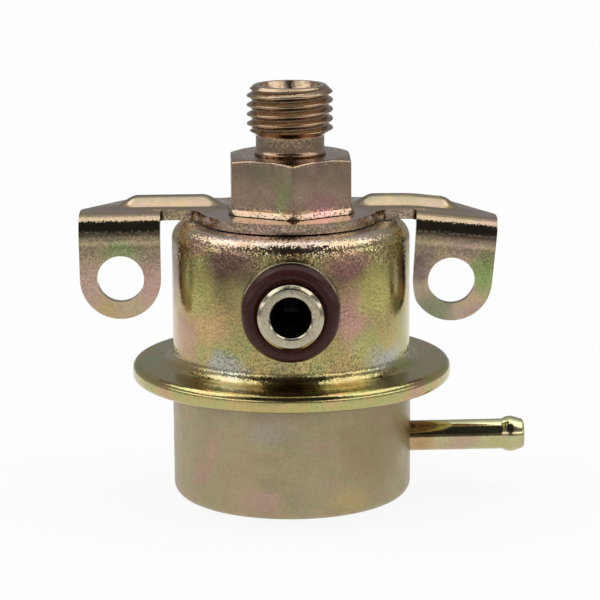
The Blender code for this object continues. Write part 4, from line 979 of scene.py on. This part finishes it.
def sag(bm):
    """Let each arm sag a little from its root, the right one more."""
    start = DROOP_START - DROOP_SPREAD
    length = 2 * DROOP_SPREAD
    for i in range(DROOP_STEPS + 1):
        for side in (-1, 1):
            cut_across(bm, bm.faces[:], (side * (start + length * i / DROOP_STEPS), 0.0, 0.0),
                       (1.0, 0.0, 0.0))
    for vert in bm.verts:
        side = -1 if vert.co.x < 0 else 1
        total = LEFT_DROOP if side < 0 else RIGHT_DROOP
        run = abs(vert.co.x) - start
        if run <= 0:
            continue
        bent = min(run, length)
        angle = total * bent / length
        radius = length / total
        along = radius * math.sin(angle) + (run - bent) * math.cos(angle)
        down = radius * (1 - math.cos(angle)) + (run - bent) * math.sin(angle)
        vert.co.x = side * (start + along + vert.co.z * math.sin(angle))
        vert.co.z = vert.co.z * math.cos(angle) - down


class BuildBracket(bpy.types.Operator):
    """Cut the bracket's sheet, press its beads, fold its ears and let its arms sag"""
    bl_idname = "regulator.bracket"
    bl_label = "Bracket"

    def execute(self, context):
        shape = context.scene.regulator_shape
        bm = bmesh.new()
        half = half_outline()
        outline = half + [(-x, y) for x, y in half[::-1]][1:-1]
        close_loop(bm, [bm.verts.new((x, y, 0.0)) for x, y in outline])
        bmesh.ops.create_circle(bm, cap_ends=False, segments=96, radius=SHANK_HOLE,
                                matrix=Matrix.Translation((-SHEET_SHIFT, 0.0, 0.0)))
        for side in (-1, 1):
            centre = Matrix.Translation((side * EAR_OFFSET, ear_flat_centre(), 0.0))
            bmesh.ops.create_circle(bm, cap_ends=False, segments=96, radius=EAR_HOLE_RADIUS,
                                    matrix=centre)
        beads = [bead_outline(bm, side) for side in (-1, 1)]
        bmesh.ops.triangle_fill(bm, use_beauty=True, use_dissolve=False, edges=bm.edges[:],
                                normal=(0.0, 0.0, 1.0))
        for side, loop in zip((-1, 1), beads):
            press_up(bm, loop, side)
        fold_down(bm)
        sag(bm)
        bmesh.ops.translate(bm, verts=bm.verts, vec=(SHEET_SHIFT, 0.0, SHEET_MIDDLE))
        bmesh.ops.recalc_face_normals(bm, faces=bm.faces)
        piece = make_object("folded_bracket", bm)
        material = plate("bracket_plate", [
            (0.30, (0.40, 0.34, 0.22)), (0.42, (0.48, 0.37, 0.22)), (0.54, (0.46, 0.35, 0.25)),
            (0.68, (0.52, 0.34, 0.29))],
            tints_and_painted_light=[
                ((-27.5, -5.4, 41.0), (3.6, 6.0, 2.0), (0.34, 0.42, 0.18), 0.9),
                ((-22.5, -5.4, 35.0), (3.5, 6.0, 7.0), (0.48, 0.30, 0.26), 0.8),
                ((-32.0, -5.4, 36.0), (3.5, 6.0, 6.0), (0.50, 0.34, 0.27), 0.7),
                ((-30.0, -5.4, 31.0), (4.0, 6.0, 3.0), (0.46, 0.34, 0.15), 0.7),
                # dark patch on the right ear's inner side: painted dark reflection
                ((20.5, -5.4, 38.0), (4.0, 6.0, 4.5), (0.22, 0.16, 0.14), 0.95),
                ((31.0, -5.4, 37.0), (3.5, 6.0, 5.0), (0.26, 0.36, 0.12), 0.9),
                ((0.0, 4.0, 49.0), (60.0, 9.0, 2.6), (0.30, 0.27, 0.19), 0.9),
                # dark patch low on the right ear's inner side: painted dark reflection
                ((22.5, -5.4, 31.0), (5.0, 6.0, 5.0), (0.20, 0.22, 0.13), 0.9),
                ((29.5, -5.4, 30.5), (3.5, 6.0, 3.0), (0.38, 0.25, 0.22), 0.8)],
            roughness=0.11, grain=0.15, tone_size=8.0,
            glitter=((0.0, 0.012), (42.5, 0.02), (44.0, 0.06), (46.2, 0.06), (46.8, 0.02)))
        finish_piece(piece, "mounting_bracket", material)
        wall = piece.modifiers.new("sheet", "SOLIDIFY")
        wall.thickness = SHEET
        wall.offset = 0.0
        edge = piece.modifiers.new("cut_edge", "BEVEL")
        edge.width = shape.sheet_edge
        edge.segments = 4
        edge.limit_method = "ANGLE"
        edge.angle_limit = math.radians(50.0)
        edge.harden_normals = True
        return {"FINISHED"}


# Inlet and nipple

class BuildInlet(bpy.types.Operator):
    """Turn the inlet stub with its collar saddled to the can, and lay its sealing ring"""
    bl_idname = "regulator.inlet"
    bl_label = "Inlet and ring"

    def execute(self, context):
        place = Matrix.Translation((0.0, 0.0, STUB_HEIGHT)) @ ALONG_MINUS_Y
        lead = 0.28 * MM
        stub = turned("inlet_stub", [
            (STUB_BORE + lead, STUB_REACH, 0.06 * MM),
            (STUB_RADIUS - STUB_CHAMFER, STUB_REACH, 0.12 * MM),
            (STUB_RADIUS, STUB_REACH - STUB_CHAMFER, 0.12 * MM),
            (STUB_RADIUS, GROOVE_FRONT, 0.3 * MM),
            (GROOVE_RADIUS, GROOVE_FRONT, 0.1 * MM),
            (GROOVE_RADIUS, GROOVE_BACK, 0.0),
            (STUB_SHANK, GROOVE_BACK, 0.0),
            (STUB_SHANK, STUB_INNER_END, 0.28 * MM),
            (STUB_BORE, STUB_INNER_END, 0.0),
            (STUB_BORE, STUB_REACH - lead, 0.06 * MM),
        ], FINE_STEPS, place)
        middle = (GROOVE_RADIUS + STUB_BORE) / 2
        back = CAN_RADIUS - 2 * CAN_WALL
        collar = turned("stub_collar", [
            (middle, GROOVE_BACK, 0.0),
            (COLLAR_RADIUS, GROOVE_BACK, 0.28 * MM),
            (COLLAR_RADIUS, back, 0.0),
            (middle, back, 0.0),
        ], FINE_STEPS, place)
        saddle = rod("can_saddle", CAN_RADIUS + COLLAR_GAP, STUB_HEIGHT - 2 * COLLAR_RADIUS,
                     STUB_HEIGHT + 2 * COLLAR_RADIUS, ROUND_STEPS)
        combine(collar, saddle, "DIFFERENCE")
        combine(stub, collar, "UNION")
        material = plate("inlet_plate", [
            (0.32, (0.40, 0.36, 0.26)), (0.46, (0.48, 0.42, 0.30)), (0.58, (0.44, 0.42, 0.30)),
            (0.72, (0.50, 0.38, 0.30))],
            # nearly black over the collar and the back of the stub: painted dark reflection
            tints_and_painted_light=[((0.0, -17.5, 30.4), (34.0, 7.0, 34.0), (0.05, 0.04, 0.025), 1.0)],
            roughness=0.15, grain=0.5, tone_size=4.0, glitter=((0.0, 0.03),))
        finish_piece(stub, "inlet_spigot", material)

        bm = bmesh.new()
        seat = Matrix.Translation((RING_RADIUS, 0.0, -(RING_LOW.y + RING_HIGH.y) / 2))
        bmesh.ops.create_circle(bm, cap_ends=False, segments=40, radius=RING_SECTION,
                                matrix=seat @ Matrix.Rotation(math.radians(90.0), 4, "X"))
        spin_round(bm, FINE_STEPS, use_merge=True)
        bmesh.ops.recalc_face_normals(bm, faces=bm.faces)
        ring = make_object("sealing_ring", bm, place)
        rubber_colour = tuple(context.scene.regulator_finish.ring)
        finish_piece(ring, "inlet_o_ring", rubber("ring_rubber", rubber_colour, 0.30))
        return {"FINISHED"}


class BuildNipple(bpy.types.Operator):
    """Turn the hose nipple with its swollen end"""
    bl_idname = "regulator.nipple"
    bl_label = "Hose nipple"

    def execute(self, context):
        middle = Matrix.Translation(((NIPPLE_REACH + CUP_RADIUS) / 2, 0.0, NIPPLE_HEIGHT))
        tilt = middle @ Matrix.Rotation(NIPPLE_TILT, 4, "Y") @ middle.inverted()
        place = tilt @ Matrix.Translation((0.0, 0.0, NIPPLE_HEIGHT)) @ ALONG_X
        back = NIPPLE_REACH - BULB_LENGTH
        crest = NIPPLE_REACH - BULB_FRONT
        piece = turned("hose_nipple", [
            (NIPPLE_BORE + 0.2 * MM, NIPPLE_REACH, 0.05 * MM),
            (TIP_RADIUS, NIPPLE_REACH, 0.45 * MM),
            (BULB_RADIUS, crest, 0.85 * MM),
            (NIPPLE_RADIUS, back, 0.2 * MM),
            (NIPPLE_RADIUS, NIPPLE_INNER_END, 0.2 * MM),
            (NIPPLE_BORE, NIPPLE_INNER_END, 0.0),
            (NIPPLE_BORE, NIPPLE_REACH - 0.2 * MM, 0.05 * MM),
        ], FINE_STEPS, place)
        material = plate("nipple_plate", [
            (0.30, (0.46, 0.42, 0.20)), (0.45, (0.48, 0.46, 0.24)), (0.55, (0.46, 0.36, 0.22)),
            (0.70, (0.50, 0.33, 0.28))],
            tints_and_painted_light=[
                # pale yellow along the nipple's top: painted highlight
                ((32.0, 0.0, NIPPLE_HEIGHT / MM + 2.8), (16.0, 5.0, 2.6), (0.86, 0.84, 0.48), 0.95),
                # brown at the nipple's root next to the can: painted dark reflection
                ((20.5, 0.0, NIPPLE_HEIGHT / MM), (5.0, 6.0, 6.0), (0.42, 0.24, 0.10), 0.85)],
            roughness=0.10, grain=0.15, tone_size=6.0, glitter=((0.0, 0.012),))
        finish_piece(piece, "vacuum_nipple", material)
        return {"FINISHED"}


# Hidden pieces

INSIDES = {                   # how each is made, its colour and its roughness
    "return_tube": ("turned", (0.55, 0.55, 0.54), 0.28),
    "valve_seat": ("ground", (0.62, 0.62, 0.62), 0.20),
    "valve_plate": ("ground", (0.62, 0.62, 0.62), 0.18),
    "valve_ball": ("ground", (0.64, 0.64, 0.64), 0.10),
    "ball_spring": ("drawn", (0.42, 0.42, 0.44), 0.32),
    "main_spring": ("drawn", (0.42, 0.42, 0.44), 0.35),
    "ball_retainer": ("brass", (0.68, 0.50, 0.20), 0.28),
    "valve_carrier": ("turned", (0.55, 0.55, 0.54), 0.28),
    "diaphragm_plate": ("pressed", (0.52, 0.52, 0.50), 0.34),
    "spring_plate": ("pressed", (0.52, 0.52, 0.50), 0.36),
    "rivet_washer": ("pressed", (0.50, 0.50, 0.49), 0.34),
    "spring_seat": ("pressed", (0.52, 0.52, 0.50), 0.38),
}
DIAPHRAGM_COLOUR = (0.02, 0.02, 0.02)
DIAPHRAGM_ROUGHNESS = 0.6


class FinishInsides(bpy.types.Operator):
    """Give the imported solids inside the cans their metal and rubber"""
    bl_idname = "regulator.insides"
    bl_label = "Hidden pieces"

    def execute(self, context):
        finishes = {name: plain_metal(f"{name}_{kind}_metal", colour, roughness)
                    for name, (kind, colour, roughness) in INSIDES.items()}
        finishes["diaphragm"] = rubber("diaphragm_rubber", DIAPHRAGM_COLOUR, DIAPHRAGM_ROUGHNESS)
        for name, material in finishes.items():
            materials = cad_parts[name].data.materials
            materials.clear()
            materials.append(material)
        return {"FINISHED"}


class RegulatorPanel(bpy.types.Panel):
    """Settings and build steps of the regulator"""
    bl_idname = "VIEW3D_PT_regulator"
    bl_label = "Fuel pressure regulator"
    bl_space_type = "VIEW_3D"
    bl_region_type = "UI"
    bl_category = "Regulator"

    def draw(self, context):
        layout = self.layout
        for group in (context.scene.regulator_shape, context.scene.regulator_finish):
            box = layout.box()
            for name in group.__annotations__:
                box.prop(group, name)
        for operator in STEPS:
            layout.operator(operator.bl_idname)


STEPS = (BuildStage, BuildCans, BuildFitting, BuildBracket, BuildInlet, BuildNipple, FinishInsides)
CLASSES = (RegulatorShape, RegulatorFinish, *STEPS, RegulatorPanel)


def register():
    for cls in CLASSES:
        bpy.utils.register_class(cls)
    bpy.types.Scene.regulator_shape = PointerProperty(type=RegulatorShape)
    bpy.types.Scene.regulator_finish = PointerProperty(type=RegulatorFinish)


def unregister():
    del bpy.types.Scene.regulator_finish
    del bpy.types.Scene.regulator_shape
    for cls in reversed(CLASSES):
        bpy.utils.unregister_class(cls)


def main():
    register()
    bpy.ops.regulator.stage()
    bpy.ops.regulator.cans()
    bpy.ops.regulator.fitting()
    bpy.ops.regulator.bracket()
    bpy.ops.regulator.inlet()
    bpy.ops.regulator.nipple()
    bpy.ops.regulator.insides()


if __name__ == "__main__":
    main()
